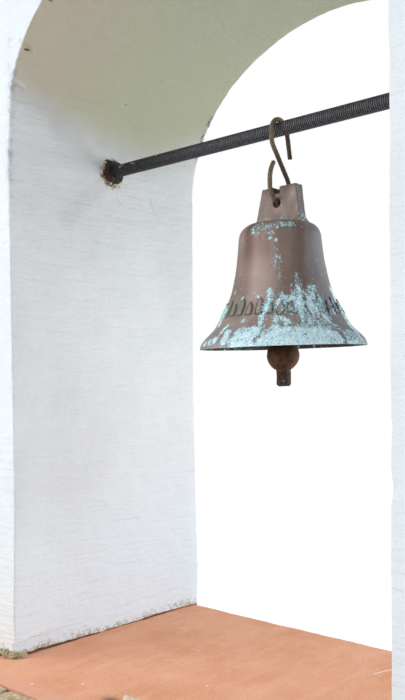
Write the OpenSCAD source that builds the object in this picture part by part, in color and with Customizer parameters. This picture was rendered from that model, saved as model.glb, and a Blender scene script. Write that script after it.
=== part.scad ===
// Masonry bell arch: one bay of a thick plastered wall with an arched opening,
// a cross bar built into both jambs, and a bronze bell on an S hook.
// Origin: centre of the footprint on the ground. +Z up, +X right, -Y is the front.
// All sizes are millimetres.

/* [Masonry] */
// Thickness of the wall that holds the arch, front to back
wall_t = 500; // [400:10:620]
// Clear width of the bell opening between its two jambs
opening_w = 780; // [680:10:900]
// Width of the pier on each side of the opening
pier_w = 430; // [320:10:600]
// Height of the finished sill above the ground
sill_h = 1050; // [700:10:1300]
// Height above the sill where the arch springs at the front face
front_spring_h = 1020; // [1000:5:1080]
// Rise of the arch at the front face
front_rise = 255; // [220:5:300]
// Height above the sill where the arch springs at the back face
back_spring_h = 927; // [900:3:960]
// Rise of the arch at the back face
back_rise = 321; // [280:3:330]
// Height of masonry over the highest point of the arch
over_arch_h = 340; // [240:10:500]
// Height of the course that runs over the crown in one piece
top_course_h = 200; // [120:10:200]
// Width of the middle piece of the arch at its underside
crown_w = 260; // [160:10:320]
// How far the middle piece of the arch widens to each side at its top
crown_splay = 45; // [0:5:70]

/* [Sill] */
// Thickness of the coloured screed on the sill
screed_t = 30; // [15:5:50]
// Projection of the screed in front of the arch wall
screed_front = 87; // [60:1:130]
// Depth of the edging stones in front of the screed
kerb_d = 85; // [60:5:140]
// Height of the edging stones
kerb_h = 70; // [55:5:120]
// Number of edging stones
kerb_count = 6; // [4:1:8]
// Open joint between two edging stones
kerb_joint = 5; // [3:1:12]
// Radius on the worn upper front arris of an edging stone
kerb_round = 12; // [4:1:20]

/* [Top cap] */
// Overhang of the cap past the wall on all sides
cap_over = 22; // [10:2:50]
// Thickness of the cap at its edge
cap_edge_h = 38; // [25:1:60]
// Height that the cap's two slopes rise to the ridge
cap_rise = 42; // [20:2:90]
// Width of the drip groove under the cap's edge
drip_w = 9; // [5:1:12]

/* [Cross bar] */
// Outside diameter of the ribbed bar
bar_d = 25; // [20:0.5:32]
// Distance of the bar's centre line below the springing of the arch, at the middle of the wall
bar_below_spring = 28.5; // [26:0.5:60]
// Length of bar built into each pier
bar_embed = 150; // [80:5:200]
// Width across the corners of the nut
nut_d = 50; // [44:1:58]
// Thickness of the nut
nut_t = 22; // [16:1:30]
// Depth that the broken hole sinks the nut behind the jamb
nut_recess = 7; // [3:1:12]
// Radial clearance between the nut and the edge of its broken hole
nut_hole_gap = 6; // [4:1:12]
// Radial clearance round the bar in the nut and in the masonry
bar_gap = 0.3; // [0.2:0.1:0.6]

/* [Hook] */
// Diameter of the hook's rod
hook_d = 8; // [6:0.5:9]
// Radius of the hook's upper bend, at the middle of the rod
hook_top_r = 22.5; // [20:0.5:24]
// Radius of the hook's lower bend, at the middle of the rod
hook_low_r = 28; // [22:0.5:29]
// Length of the free end behind the bar, below the middle of its bend
hook_back_tail = 44.5; // [36:0.5:52]
// How far the back end leans away from the bend
hook_back_lean = 9; // [0:1:12]
// Straight length in front of the bar, below the middle of the upper bend
hook_neck = 12; // [8:1:28]
// Radius of the easy bend that takes the shank back from there
hook_ease_r = 24; // [22:1:32]
// Straight length in front of the lug, above the middle of the lower bend
hook_front_rise = 8; // [6:1:24]
// Radius of the curl at the front end
hook_curl_r = 51; // [34:1:60]
// Angle that the curl turns the front end towards the shank
hook_curl = 42; // [10:1:44]
// Clearance between the hook and what it hangs from or carries
seat_gap = 0.3; // [0.2:0.05:0.5]

/* [Bell] */
// Distance of the bell's axis from the left jamb
bell_from_jamb = 431; // [380:1:480]
// Height of the lug's hole below the middle of the bar
bell_drop = 129.5; // [122:0.5:150]
// Diameter of the bell's mouth
mouth_d = 287.6; // [260:0.2:310]
// Diameter of the waist under the shoulder
waist_d = 142.4; // [130:0.2:156]
// Height of the crown's flat top above the rim
crown_h = 215.6; // [208:0.2:225]
// Radius of the shoulder
shoulder_r = 27; // [20:1:30]
// Rise of the crown from the shoulder to its middle
crown_dome = 2.6; // [1:0.2:6]
// How far the rounded lip draws in from the mouth, at its upper end
lip_in = 26.3; // [20:0.1:30]
// Height of the rounded lip
lip_h = 35; // [28:0.1:40]
// Height over which the lip already has the flare's slope, at its upper end
lip_pull = 8; // [4:0.5:12]
// Height over which the lip rises nearly upright before it rounds in
lip_rise = 14; // [8:0.5:18]
// Draw of the flare for each millimetre of height, where it leaves the lip
flare_slope = 0.6; // [0.5:0.01:0.75]
// Height over which the flare keeps that slope
flare_pull = 44; // [30:1:50]
// Draw of the flare for each millimetre of height, where it reaches the shoulder
waist_slope = 0.1; // [0:0.01:0.15]
// Height over which the waist keeps that slope
waist_pull = 92; // [70:1:100]
// Lean of the bell in the lug's plane, as it hangs: positive takes the rim to the right
bell_lean = 0.5; // [-3:0.1:3]
// Tip of the bell across that plane, along the hook's lower bend: positive takes the rim back
bell_tip = 1.6; // [-3:0.1:3]
// Metal thickness at the waist
bell_wall = 8; // [6:0.5:10]
// Metal thickness of the sound bow, where the clapper strikes
bow_wall = 13; // [10:0.5:15]
// Height of the sound bow above the rim
bow_h = 22; // [15:1:30]
// Metal thickness at the rim's edge
rim_wall = 7; // [5:0.5:9]
// Metal thickness of the crown
crown_wall = 12; // [9:0.5:15]

/* [Lug] */
// Width of the lug where it leaves the crown
lug_base_w = 93; // [80:1:96]
// Width of the lug at its top
lug_top_w = 71; // [60:1:78]
// Height of the lug above the crown
lug_h = 60; // [54:1:70]
// How far the lug and its hole stand to the right of the bell's axis
lug_shift = 2.5; // [-4:0.5:4]
// How much further right the lug's top stands than its foot
lug_skew = 5; // [-6:0.5:6]
// Thickness of the lug
lug_t = 20; // [16:1:22]
// Diameter of the hole through the lug
lug_hole_d = 17.5; // [16:0.5:19]
// Height of the hole's centre above the crown
lug_hole_h = 31.2; // [28:0.2:36]
// Width of the worn notch in the lug's top edge
notch_w = 13; // [8:1:16]
// Depth of the worn notch
notch_h = 11; // [7:1:13]

/* [Clapper] */
// Diameter of the clapper's ball
ball_d = 56; // [46:1:60]
// Distance of the ball's centre below the rim
ball_drop = 13.5; // [12:0.5:24]
// Diameter of the clapper's shank
shank_d = 11; // [8:0.5:14]
// Diameter of the rod of the eye and of the staple
eye_rod_d = 8; // [6:0.5:9]
// Inside diameter of the clapper's eye
eye_in_d = 12; // [11:0.5:15]
// Width of the flat tail
tail_w = 21.6; // [18:0.2:26]
// Thickness of the flat tail
tail_t = 11; // [7:0.5:13]
// Distance of the tail's end below the middle of the ball
tail_drop = 53.5; // [46:0.5:58]
// Diameter of the neck between the ball and the tail
neck_d = 22; // [18:1:26]
// Radius of the hollow curve that runs from the ball into the neck
neck_flare = 8; // [5:0.5:10]
// Length over which the neck thins onto the tail
neck_taper = 9; // [5:0.5:12]
// Diameter of the rope hole in the tail
rope_hole_d = 8; // [5:0.5:9]
// Distance of the rope hole from the tail's end
rope_hole_edge = 9; // [8:0.5:12]
// Diameter of the staple's rod
staple_rod_d = 7; // [5:0.5:8]
// Radius of the staple's bend at the middle of its rod
staple_bend_r = 12; // [11:0.5:14]
// Length of the staple's straight legs
staple_leg = 11; // [6:1:18]

/* [Hidden] */
// Rounds that are true curves
$fn = 96;
// Steps along an arch outline, and up the bell's lip and its flare
arch_steps = 32;
lip_steps = 8;
flare_steps = 18;
// Reach of a cutting shape past the face that it opens
past = 1;
// Step in radius between a bend of the hook and the straight rod or round tip fused to it
fuse_step = 0.02;

// Depth of the footprint, and the planes of the wall's faces
base_d = wall_t + screed_front + kerb_d;
base_front = -(base_d + cap_over) / 2;
back = base_front + base_d;
front = back - wall_t;
screed_edge = front - screed_front;
mid_y = (front + back) / 2;

// Half widths and heights of the masonry
half_open = opening_w / 2;
half_w = half_open + pier_w;
front_crown_h = front_spring_h + front_rise;
back_crown_h = back_spring_h + back_rise;
crown_low = sill_h + max(front_crown_h, back_crown_h);
wall_top = crown_low + over_arch_h;
top_course_low = wall_top - top_course_h;
bed_z = sill_h - screed_t;
bar_z = sill_h + (front_spring_h + back_spring_h) / 2 - bar_below_spring;
springer_margin = 45;
springer_low = bar_z - nut_d / 2 - springer_margin;
springer_top = sill_h + max(front_spring_h, back_spring_h) + springer_margin;

// Hook: the upper bend hangs on the bar, the lower bend carries the lug
bell_x = -half_open + bell_from_jamb;
hole_z = bar_z - bell_drop;
hook_r = hook_d / 2;
hook_top_z = bar_z + bar_d / 2 + seat_gap + hook_r - hook_top_r;
lug_edge_rise = hook_low_r - sqrt(pow(hook_low_r, 2) - pow(lug_t / 2, 2));
lug_edge_tilt = asin(lug_t / 2 / hook_low_r);
low_bend_z = hole_z + lug_hole_d / 2 - seat_gap - hook_r / cos(lug_edge_tilt) - lug_edge_rise;
hook_low_z = low_bend_z + hook_low_r;
hook_span = hook_top_z - hook_low_z;
ease_mid = [hook_ease_r - hook_top_r, hook_span - hook_neck];
shank_lean = asin((hook_ease_r + hook_low_r) / norm(ease_mid)) - atan2(ease_mid[0], ease_mid[1]);

// Bell and clapper, with heights measured from the rim
mouth_r = mouth_d / 2;
waist_r = waist_d / 2;
shoulder_h = crown_h - crown_dome - shoulder_r;
hole_h = crown_h + lug_hole_h;
pivot_h = crown_h - crown_wall - staple_leg - staple_bend_r;
ball_h = -ball_drop;
eye_r = (eye_in_d + eye_rod_d) / 2;
eye_h = pivot_h + staple_rod_d / 2 + seat_gap + eye_rod_d / 2 - eye_r;
tail_end_h = ball_h - tail_drop;

// A block given by its lowest and highest corners
module block(low, high) {
    translate(low) cube(high - low);
}

// Outline of the arch at a depth t through the wall, from 0 at the front to 1 at the back
function arch_ring(t, y) = let (
    spring = sill_h + front_spring_h + (back_spring_h - front_spring_h) * t,
    rise = front_rise + (back_rise - front_rise) * t
) concat(
    [[half_open, y, springer_low - past], [-half_open, y, springer_low - past]],
    [for (i = [0 : arch_steps]) let (a = 180 - 180 * i / arch_steps)
        [half_open * cos(a), y, spring + rise * sin(a)]]
);

// The space under the arch, lofted from the front outline to the back one
module arch_void() {
    reach = past / wall_t;
    front_ring = arch_ring(-reach, front - past);
    back_ring = arch_ring(1 + reach, back + past);
    n = len(front_ring);
    caps = [[for (i = [0 : n - 1]) i], [for (i = [n - 1 : -1 : 0]) n + i]];
    sides = [for (i = [0 : n - 1]) let (j = (i + 1) % n)
        each i < n / 2 ? [[i, n + i, n + j], [i, n + j, j]] : [[i, n + i, j], [n + i, n + j, j]]];
    polyhedron(points = concat(front_ring, back_ring), faces = concat(caps, sides));
}

// Breast wall under the sill, with a rebate along its front for the edging
module base_wall() {
    color("white")
    difference() {
        block([-half_w, base_front, 0], [half_w, back, bed_z]);
        block([-half_w - past, base_front - past, sill_h - kerb_h], [half_w + past, screed_edge, sill_h]);
    }
}

// Coloured screed: a tongue through the opening and a strip in front of the piers
module sill_screed() {
    color("sandybrown")
    translate([0, 0, bed_z])
    linear_extrude(screed_t)
    polygon([
        [-half_w, screed_edge], [half_w, screed_edge],
        [half_w, front], [half_open, front], [half_open, back],
        [-half_open, back], [-half_open, front], [-half_w, front]
    ]);
}

// One edging stone, counted from the left, with its upper front arris worn round
module kerb_stone(i) {
    pitch = 2 * half_w / kerb_count;
    left_gap = i == 1 ? 0 : kerb_joint / 2;
    right_gap = i == kerb_count ? 0 : kerb_joint / 2;
    length = pitch - left_gap - right_gap;
    low = sill_h - kerb_h;
    color("tan")
    translate([-half_w + (i - 1) * pitch + left_gap, 0, 0])
    rotate([90, 0, 90])
    linear_extrude(length)
    union() {
        translate([base_front, low]) square([kerb_d, kerb_h - kerb_round]);
        translate([base_front + kerb_round, low]) square([kerb_d - kerb_round, kerb_h]);
        translate([base_front + kerb_round, sill_h - kerb_round]) circle(kerb_round);
    }
}

// Pier from the bed of the screed to the springer; side is -1 for left and 1 for right
module pier(side) {
    inner = side * half_open;
    outer = side * half_w;
    color("whitesmoke")
    block([min(inner, outer), front, bed_z], [max(inner, outer), back, springer_low]);
}

// Block at the springing, with the socket of the bar and the broken hole round its nut
module springer(side) {
    inner = side * (half_open - half_open / 2);
    outer = side * half_w;
    color("white")
    difference() {
        block([min(inner, outer), front, springer_low], [max(inner, outer), back, springer_top]);
        arch_void();
        translate([side * (half_open - past), mid_y, bar_z])
        rotate([0, side * 90, 0]) {
            cylinder(d = bar_d + 2 * bar_gap, h = bar_embed + past + bar_gap);
            cylinder(d = nut_d + 2 * nut_hole_gap, h = nut_recess + past);
        }
    }
}

// Outline, seen from the front, of the middle piece of the arch
module crown_outline() {
    low = springer_top;
    polygon([
        [-crown_w / 2, low], [crown_w / 2, low],
        [crown_w / 2 + crown_splay, top_course_low], [-crown_w / 2 - crown_splay, top_course_low]
    ]);
}

// Wall beside and over the arch, from the springer to the top course
module haunch(side) {
    inner = side * (crown_w / 2 - past);
    outer = side * half_w;
    color("whitesmoke")
    difference() {
        block([min(inner, outer), front, springer_top], [max(inner, outer), back, top_course_low]);
        arch_void();
        translate([0, back + past, 0]) rotate([90, 0, 0]) linear_extrude(wall_t + 2 * past) crown_outline();
    }
}

// Middle piece of the arch, with splayed sides like a keystone
module arch_crown() {
    color("white")
    difference() {
        translate([0, back, 0]) rotate([90, 0, 0]) linear_extrude(wall_t) crown_outline();
        arch_void();
    }
}

// Plain course over the crown
module top_course() {
    color("whitesmoke")
    block([-half_w, front, top_course_low], [half_w, back, wall_top]);
}

// Weathering cap with two slopes and a drip groove under each long edge
module top_cap() {
    depth = wall_t + 2 * cap_over;
    groove_y = depth / 2 - cap_over / 2;
    color("sandybrown")
    translate([-half_w - cap_over, mid_y, wall_top])
    rotate([90, 0, 90])
    linear_extrude(2 * (half_w + cap_over))
    difference() {
        polygon([
            [-depth / 2, 0], [depth / 2, 0], [depth / 2, cap_edge_h],
            [0, cap_edge_h + cap_rise], [-depth / 2, cap_edge_h]
        ]);
        for (s = [-1, 1]) translate([s * groove_y, 0]) circle(d = drip_w);
    }
}

// Ribbed bar, drawn at its outside diameter
module crossbar() {
    color("dimgray")
    translate([-half_open - bar_embed, mid_y, bar_z])
    rotate([0, 90, 0])
    cylinder(d = bar_d, h = opening_w + 2 * bar_embed);
}

// Hexagonal nut at the jamb, standing on one corner
module nut(side) {
    color("saddlebrown")
    translate([side * (half_open + nut_recess), mid_y, bar_z])
    rotate([0, -side * 90, 0])
    difference() {
        cylinder(d = nut_d, h = nut_t, $fn = 6);
        translate([0, 0, -past]) cylinder(d = bar_d + 2 * bar_gap, h = nut_t + 2 * past);
    }
}

// Part of a ring of rod in the plane x = 0 about a point [y, z], over a sweep from the angle a0:
// 0 is +Y and 90 is up
module rod_bend(mid, r, rod_d, a0, sweep) {
    translate([0, mid[0], mid[1]])
    rotate([90, 0, 90])
    rotate([0, 0, a0])
    rotate_extrude(angle = sweep)
    translate([r, 0])
    circle(d = rod_d);
}

// Straight rod between two points given as [y, z]. It reaches a little into the bends at its ends
// and is a hair thinner than they are, so that all fuse into one solid.
module rod_to(from, to, rod_d) {
    d = to - from;
    reach = rod_d / 16;
    translate([0, from[0], from[1]])
    rotate([-atan2(d[0], d[1]), 0, 0])
    translate([0, 0, -reach])
    cylinder(d = rod_d - 2 * fuse_step, h = norm(d) + 2 * reach);
}

// S hook in the plane of the bell's axis, across the bar. From the bar its shank drops straight in
// front, eases back behind the lug, turns up through the lug's hole and ends in a curl.
module s_hook() {
    back_lean = atan(hook_back_lean / hook_back_tail);
    // Points as [y, z] from the middle of the lower bend
    top_mid = [0, hook_span];
    back_start = top_mid + hook_top_r * [cos(back_lean), sin(back_lean)];
    shank_dir = [cos(shank_lean), sin(shank_lean)];
    curl_mid = [hook_curl_r - hook_low_r, hook_front_rise];
    tip = curl_mid + hook_curl_r * [-cos(hook_curl), sin(hook_curl)];
    color("sienna")
    translate([bell_x, mid_y, hook_low_z])
    union() {
        rod_to(back_start + [hook_back_lean, -hook_back_tail], back_start, hook_d);
        rod_bend(top_mid, hook_top_r, hook_d, back_lean, 180 - back_lean);
        rod_to([-hook_top_r, ease_mid[1]], [-hook_top_r, hook_span], hook_d);
        rod_bend(ease_mid, hook_ease_r, hook_d, 180, shank_lean);
        rod_to(ease_mid - hook_ease_r * shank_dir, hook_low_r * shank_dir, hook_d);
        rod_bend([0, 0], hook_low_r, hook_d, 180, 180 + shank_lean);
        rod_to([-hook_low_r, 0], [-hook_low_r, hook_front_rise], hook_d);
        rod_bend(curl_mid, hook_curl_r, hook_d, 180 - hook_curl, hook_curl);
        translate([0, tip[0], tip[1]]) sphere(d = hook_d - 2 * fuse_step);
    }
}

// Puts what is drawn from the rim's centre upwards where the bell hangs on its lug's hole. The tip
// turns about the middle of the hook's lower bend, so the hole keeps its clearance to the rod.
module hung() {
    translate([bell_x, mid_y, hook_low_z])
    rotate([bell_tip, 0, 0])
    translate([0, 0, hole_z - hook_low_z])
    rotate([0, -bell_lean, 0])
    translate([-lug_shift, 0, -hole_h])
    children();
}

// Point at u on the cubic curve that the four points p steer
function curve(p, u) =
    pow(1 - u, 3) * p[0] + 3 * pow(1 - u, 2) * u * p[1] + 3 * (1 - u) * u * u * p[2] + pow(u, 3) * p[3];

// The rounded lip and the flare over it, each steered by four points of radius and height
lip_r = mouth_r - lip_in;
lip = [
    [mouth_r, 0],
    [mouth_r, lip_rise],
    [lip_r + flare_slope * lip_pull, lip_h - lip_pull],
    [lip_r, lip_h]
];
flare = [
    [lip_r, lip_h],
    [lip_r - flare_slope * flare_pull, lip_h + flare_pull],
    [waist_r + waist_slope * waist_pull, shoulder_h - waist_pull],
    [waist_r, shoulder_h]
];

// Metal thickness at a height: the rim thickens to the sound bow and thins again to the waist
function metal(h) = h < bow_h
    ? rim_wall + (bow_wall - rim_wall) * sin(90 * h / bow_h)
    : bell_wall + (bow_wall - bell_wall) * exp(-pow((h - bow_h) / bow_h, 2));

// Bell body as one casting, turned from its outline
module bell_body() {
    // Outside of the shoulder, then the inside of the crown, the shoulder and the flare
    shoulder = [for (a = [15 : 15 : 90])
        [waist_r - shoulder_r + shoulder_r * cos(a), shoulder_h + shoulder_r * sin(a)]];
    in_r = waist_r - bell_wall;
    in_round = shoulder_r - bell_wall;
    in_h = crown_h - crown_wall - in_round;
    in_shoulder = [for (a = [90 : -15 : 0]) [in_r - in_round + in_round * cos(a), in_h + in_round * sin(a)]];
    outer = concat(
        [for (i = [0 : lip_steps]) curve(lip, i / lip_steps)],
        [for (i = [1 : flare_steps]) curve(flare, i / flare_steps)]
    );
    last = len(outer) - 1;
    inner = [for (i = [last : -1 : 0]) if (outer[i][1] < in_h - past) outer[i] - [metal(outer[i][1]), 0]];
    rotate_extrude()
    polygon(concat(outer, shoulder, [[0, crown_h], [0, crown_h - crown_wall]], in_shoulder, inner));
}

// Tapered lug with its hole and the worn notch over it
module lug() {
    // The lug's foot reaches this far into the crown
    foot = crown_wall / 2;
    slope = (lug_base_w - lug_top_w) / 2 / lug_h;
    rotate([90, 0, 0])
    translate([0, 0, -lug_t / 2])
    linear_extrude(lug_t)
    difference() {
        polygon([
            [-lug_base_w / 2 - slope * foot, -foot], [lug_base_w / 2 + slope * foot, -foot],
            [lug_skew + lug_top_w / 2, lug_h], [lug_skew - lug_top_w / 2, lug_h]
        ]);
        translate([0, lug_hole_h]) circle(d = lug_hole_d);
        translate([0, lug_h - notch_h + notch_w / 2]) circle(d = notch_w);
        translate([-notch_w / 2, lug_h - notch_h + notch_w / 2]) square([notch_w, notch_h]);
    }
}

// Bell with its lug, cast in one
module bell() {
    color("rosybrown")
    hung()
    union() {
        bell_body();
        translate([lug_shift, 0, crown_h]) lug();
    }
}

// Iron staple cast into the crown: a half ring hanging on two legs
module clapper_staple() {
    color("brown")
    hung()
    translate([0, 0, pivot_h + staple_bend_r])
    rotate([0, 0, 90])
    union() {
        rod_bend([0, 0], staple_bend_r, staple_rod_d, 180, 180);
        for (s = [-1, 1]) translate([0, s * staple_bend_r, 0]) cylinder(d = staple_rod_d, h = staple_leg);
    }
}

// Flat tail of the clapper with its rope hole
module clapper_tail() {
    top = tail_drop - ball_d / 4;
    round_r = tail_w / 4;
    rotate([90, 0, 0])
    translate([0, 0, -tail_t / 2])
    linear_extrude(tail_t)
    difference() {
        union() {
            translate([-tail_w / 2, round_r]) square([tail_w, top - round_r]);
            translate([-tail_w / 2 + round_r, 0]) square([tail_w - 2 * round_r, top]);
            for (s = [-1, 1]) translate([s * (tail_w / 2 - round_r), round_r]) circle(round_r);
        }
        translate([0, rope_hole_edge]) circle(d = rope_hole_d);
    }
}

// Neck of the clapper, drawn down from its wide top in the ball until it is as thin as the tail
module clapper_neck() {
    neck_r = neck_d / 2;
    rotate_extrude()
    difference() {
        polygon([
            [0, 0], [neck_r + neck_flare, 0], [neck_r + neck_flare, -neck_flare],
            [neck_r, -neck_flare], [tail_t / 2, -neck_flare - neck_taper], [0, -neck_flare - neck_taper]
        ]);
        translate([neck_r + neck_flare, -neck_flare]) circle(neck_flare);
    }
}

// Clapper: eye, shank, ball, neck and tail forged in one
module clapper() {
    shank_top = eye_h - eye_r;
    // The neck's wide top lies just inside the ball
    neck_h = ball_h - sqrt(pow(ball_d / 2, 2) - pow(neck_d / 2 + neck_flare, 2)) + past;
    color("maroon")
    hung()
    union() {
        translate([0, 0, eye_h]) rod_bend([0, 0], eye_r, eye_rod_d, 0, 360);
        translate([0, 0, ball_h]) cylinder(d = shank_d, h = shank_top - ball_h);
        translate([0, 0, ball_h]) sphere(d = ball_d);
        translate([0, 0, neck_h]) clapper_neck();
        translate([0, 0, tail_end_h]) clapper_tail();
    }
}

base_wall();
sill_screed();
for (i = [1 : kerb_count]) {
    kerb_stone(i);
}
pier(-1);  // left_pier
pier(1);  // right_pier
springer(-1);  // left_springer
springer(1);  // right_springer
haunch(-1);  // left_haunch
haunch(1);  // right_haunch
arch_crown();
top_course();
top_cap();
crossbar();
nut(-1);  // left_nut
nut(1);  // right_nut
s_hook();
bell();
clapper_staple();
clapper();
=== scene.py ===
"""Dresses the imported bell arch: plaster, screed, stones, ribbed bar, S hook, bell and clapper.

Sizes in the classes are millimetres, as in the part's source. Meshes are made in metres.
"""

import logging
import math
from dataclasses import dataclass
from enum import Enum
from itertools import product
from typing import Any, Callable, Sequence

import bmesh
import bpy
import numpy as np
from bpy.types import Material, NodeSocket, NodeTree, Object
from mathutils import Matrix, Vector


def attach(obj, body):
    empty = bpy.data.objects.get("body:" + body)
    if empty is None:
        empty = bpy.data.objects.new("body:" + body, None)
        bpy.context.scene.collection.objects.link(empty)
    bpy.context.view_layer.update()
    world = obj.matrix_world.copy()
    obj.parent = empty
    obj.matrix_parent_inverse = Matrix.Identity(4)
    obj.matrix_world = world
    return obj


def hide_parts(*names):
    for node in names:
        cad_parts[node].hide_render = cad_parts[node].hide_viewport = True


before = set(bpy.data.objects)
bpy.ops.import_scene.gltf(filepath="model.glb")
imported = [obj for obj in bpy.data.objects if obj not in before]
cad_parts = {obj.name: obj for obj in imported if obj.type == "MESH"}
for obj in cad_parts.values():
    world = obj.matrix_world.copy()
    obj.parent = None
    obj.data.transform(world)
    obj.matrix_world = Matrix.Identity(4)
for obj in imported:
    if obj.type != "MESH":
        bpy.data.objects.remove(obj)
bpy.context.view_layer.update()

log = logging.getLogger("bell_arch")

MM = 0.001
LIME_IOR = 1.5
CEMENT_IOR = 1.52
STONE_IOR = 1.54


class Body(Enum):
    """The CAD bodies that the pieces ride on."""

    WALL = "wall"
    HOOK = "hook"
    BELL = "bell"
    CLAPPER = "clapper"


class Side(Enum):
    """The two sides of the opening, as the sign of X."""

    LEFT = -1
    RIGHT = 1


def linear(colour: str) -> tuple[float, float, float, float]:
    """Turns an sRGB hex colour to linear light.

    Args:
        colour: A colour such as "#A08B6B".

    Returns:
        Red, green, blue and an alpha of 1.
    """
    parts = [int(colour[i : i + 2], 16) / 255 for i in (1, 3, 5)]
    light = [p / 12.92 if p <= 0.04045 else ((p + 0.055) / 1.055) ** 2.4 for p in parts]
    return (*light, 1.0)


def per_mm(size: float) -> float:
    """Scale of a texture at which one of its lumps is about that many millimetres wide."""
    return 1.0 / (size * MM)


def ease(low: float, high: float, value: np.ndarray) -> np.ndarray:
    """Goes smoothly from 0 at low to 1 at high."""
    t = np.clip((np.asarray(value, float) - low) / (high - low), 0.0, 1.0)
    return t * t * (3.0 - 2.0 * t)


def between(value: np.ndarray, start: float, full: float, stop: float, last: float) -> np.ndarray:
    """Goes smoothly from 0 at start to 1 at full, and from 1 at last back to 0 at stop."""
    return ease(start, full, value) * ease(stop, last, value)


def points_at(x: np.ndarray, y: np.ndarray, z: np.ndarray) -> np.ndarray:
    """Places from their coordinates, each of them an array or one number for all."""
    return np.stack(np.broadcast_arrays(x, y, z), -1)


def arc(centre: Sequence[float], radius: float, angles: np.ndarray) -> np.ndarray:
    """Points in a plane on a circle about a centre, at angles in radians."""
    return np.stack([centre[0] + radius * np.cos(angles), centre[1] + radius * np.sin(angles)], 1)


def hump(off: np.ndarray, width: float) -> np.ndarray:
    """Is 1 where off is 0 and fades to next to nothing two widths away."""
    return np.exp(-((off / width) ** 2))


class Grain:
    """Smooth seeded noise over space, the same at each run."""

    CELLS = 64

    def __init__(self, seed: int) -> None:
        """Fills the lattice that the noise is drawn from."""
        self.lattice = np.random.default_rng(seed).uniform(-1, 1, (self.CELLS,) * 3)

    def at(self, points: np.ndarray, size: float, octaves: int = 1) -> np.ndarray:
        """Noise at points.

        Args:
            points: Places, in mm, in the last axis of three.
            size: Width of a lump in mm.
            octaves: Layers, each half as wide and half as strong as the one before.

        Returns:
            Values from about -1 to 1, one for each point.
        """
        total = np.zeros(points.shape[:-1])
        for octave in range(octaves):
            cell = points / size * 2**octave + 7.3 * octave
            low = np.floor(cell).astype(int)
            t = cell - low
            t = t * t * (3 - 2 * t)
            for corner in product((0, 1), repeat=3):
                spot = (low + corner) % self.CELLS
                weight = np.prod(np.where(corner, t, 1 - t), axis=-1)
                total += weight * self.lattice[spot[..., 0], spot[..., 1], spot[..., 2]] / 2**octave
        return total


def add(
    tree: NodeTree, kind: str, links: dict | None = None, out: int | str = 0, **settings
) -> NodeSocket | None:
    """Adds a shader node with its settings and links.

    Args:
        tree: The material's or world's node tree.
        kind: Type of the node, without its first word ShaderNode.
        links: For an input's name or number, the output to link to it or its plain value.
        out: Name or number of the output that is wanted.
        settings: The node's own properties.

    Returns:
        That output, or None where the node has no outputs.
    """
    node = tree.nodes.new("ShaderNode" + kind)
    for name, value in settings.items():
        setattr(node, name, value)
    for key, value in (links or {}).items():
        if isinstance(value, NodeSocket):
            tree.links.new(value, node.inputs[key])
        else:
            node.inputs[key].default_value = value
    return node.outputs[out] if node.outputs else None


@dataclass(frozen=True)
class Noise:
    """A noise pattern: the width of its lumps in mm, its roughness, and how it is stretched."""

    size: float
    detail: float = 2.0
    rough: float = 0.5
    warp: float = 0.0
    stretch: tuple[float, float, float] = (1.0, 1.0, 1.0)
    turn: float = 0.0
    over: str = "place"


@dataclass(frozen=True)
class Coat:
    """A coat of colour where a pattern lies between two levels; its shade is a hex colour or a pattern."""

    pattern: str
    shade: str
    low: float = 0.0
    high: float = 1.0
    share: float = 1.0
    curve: str = "LINEAR"


@dataclass(frozen=True)
class Mark:
    """A small mark on the plaster or the screed, along a line between two places in mm."""

    start: tuple[float, float, float]
    end: tuple[float, float, float]
    width: float
    shade: str
    strength: float = 1.0


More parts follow.
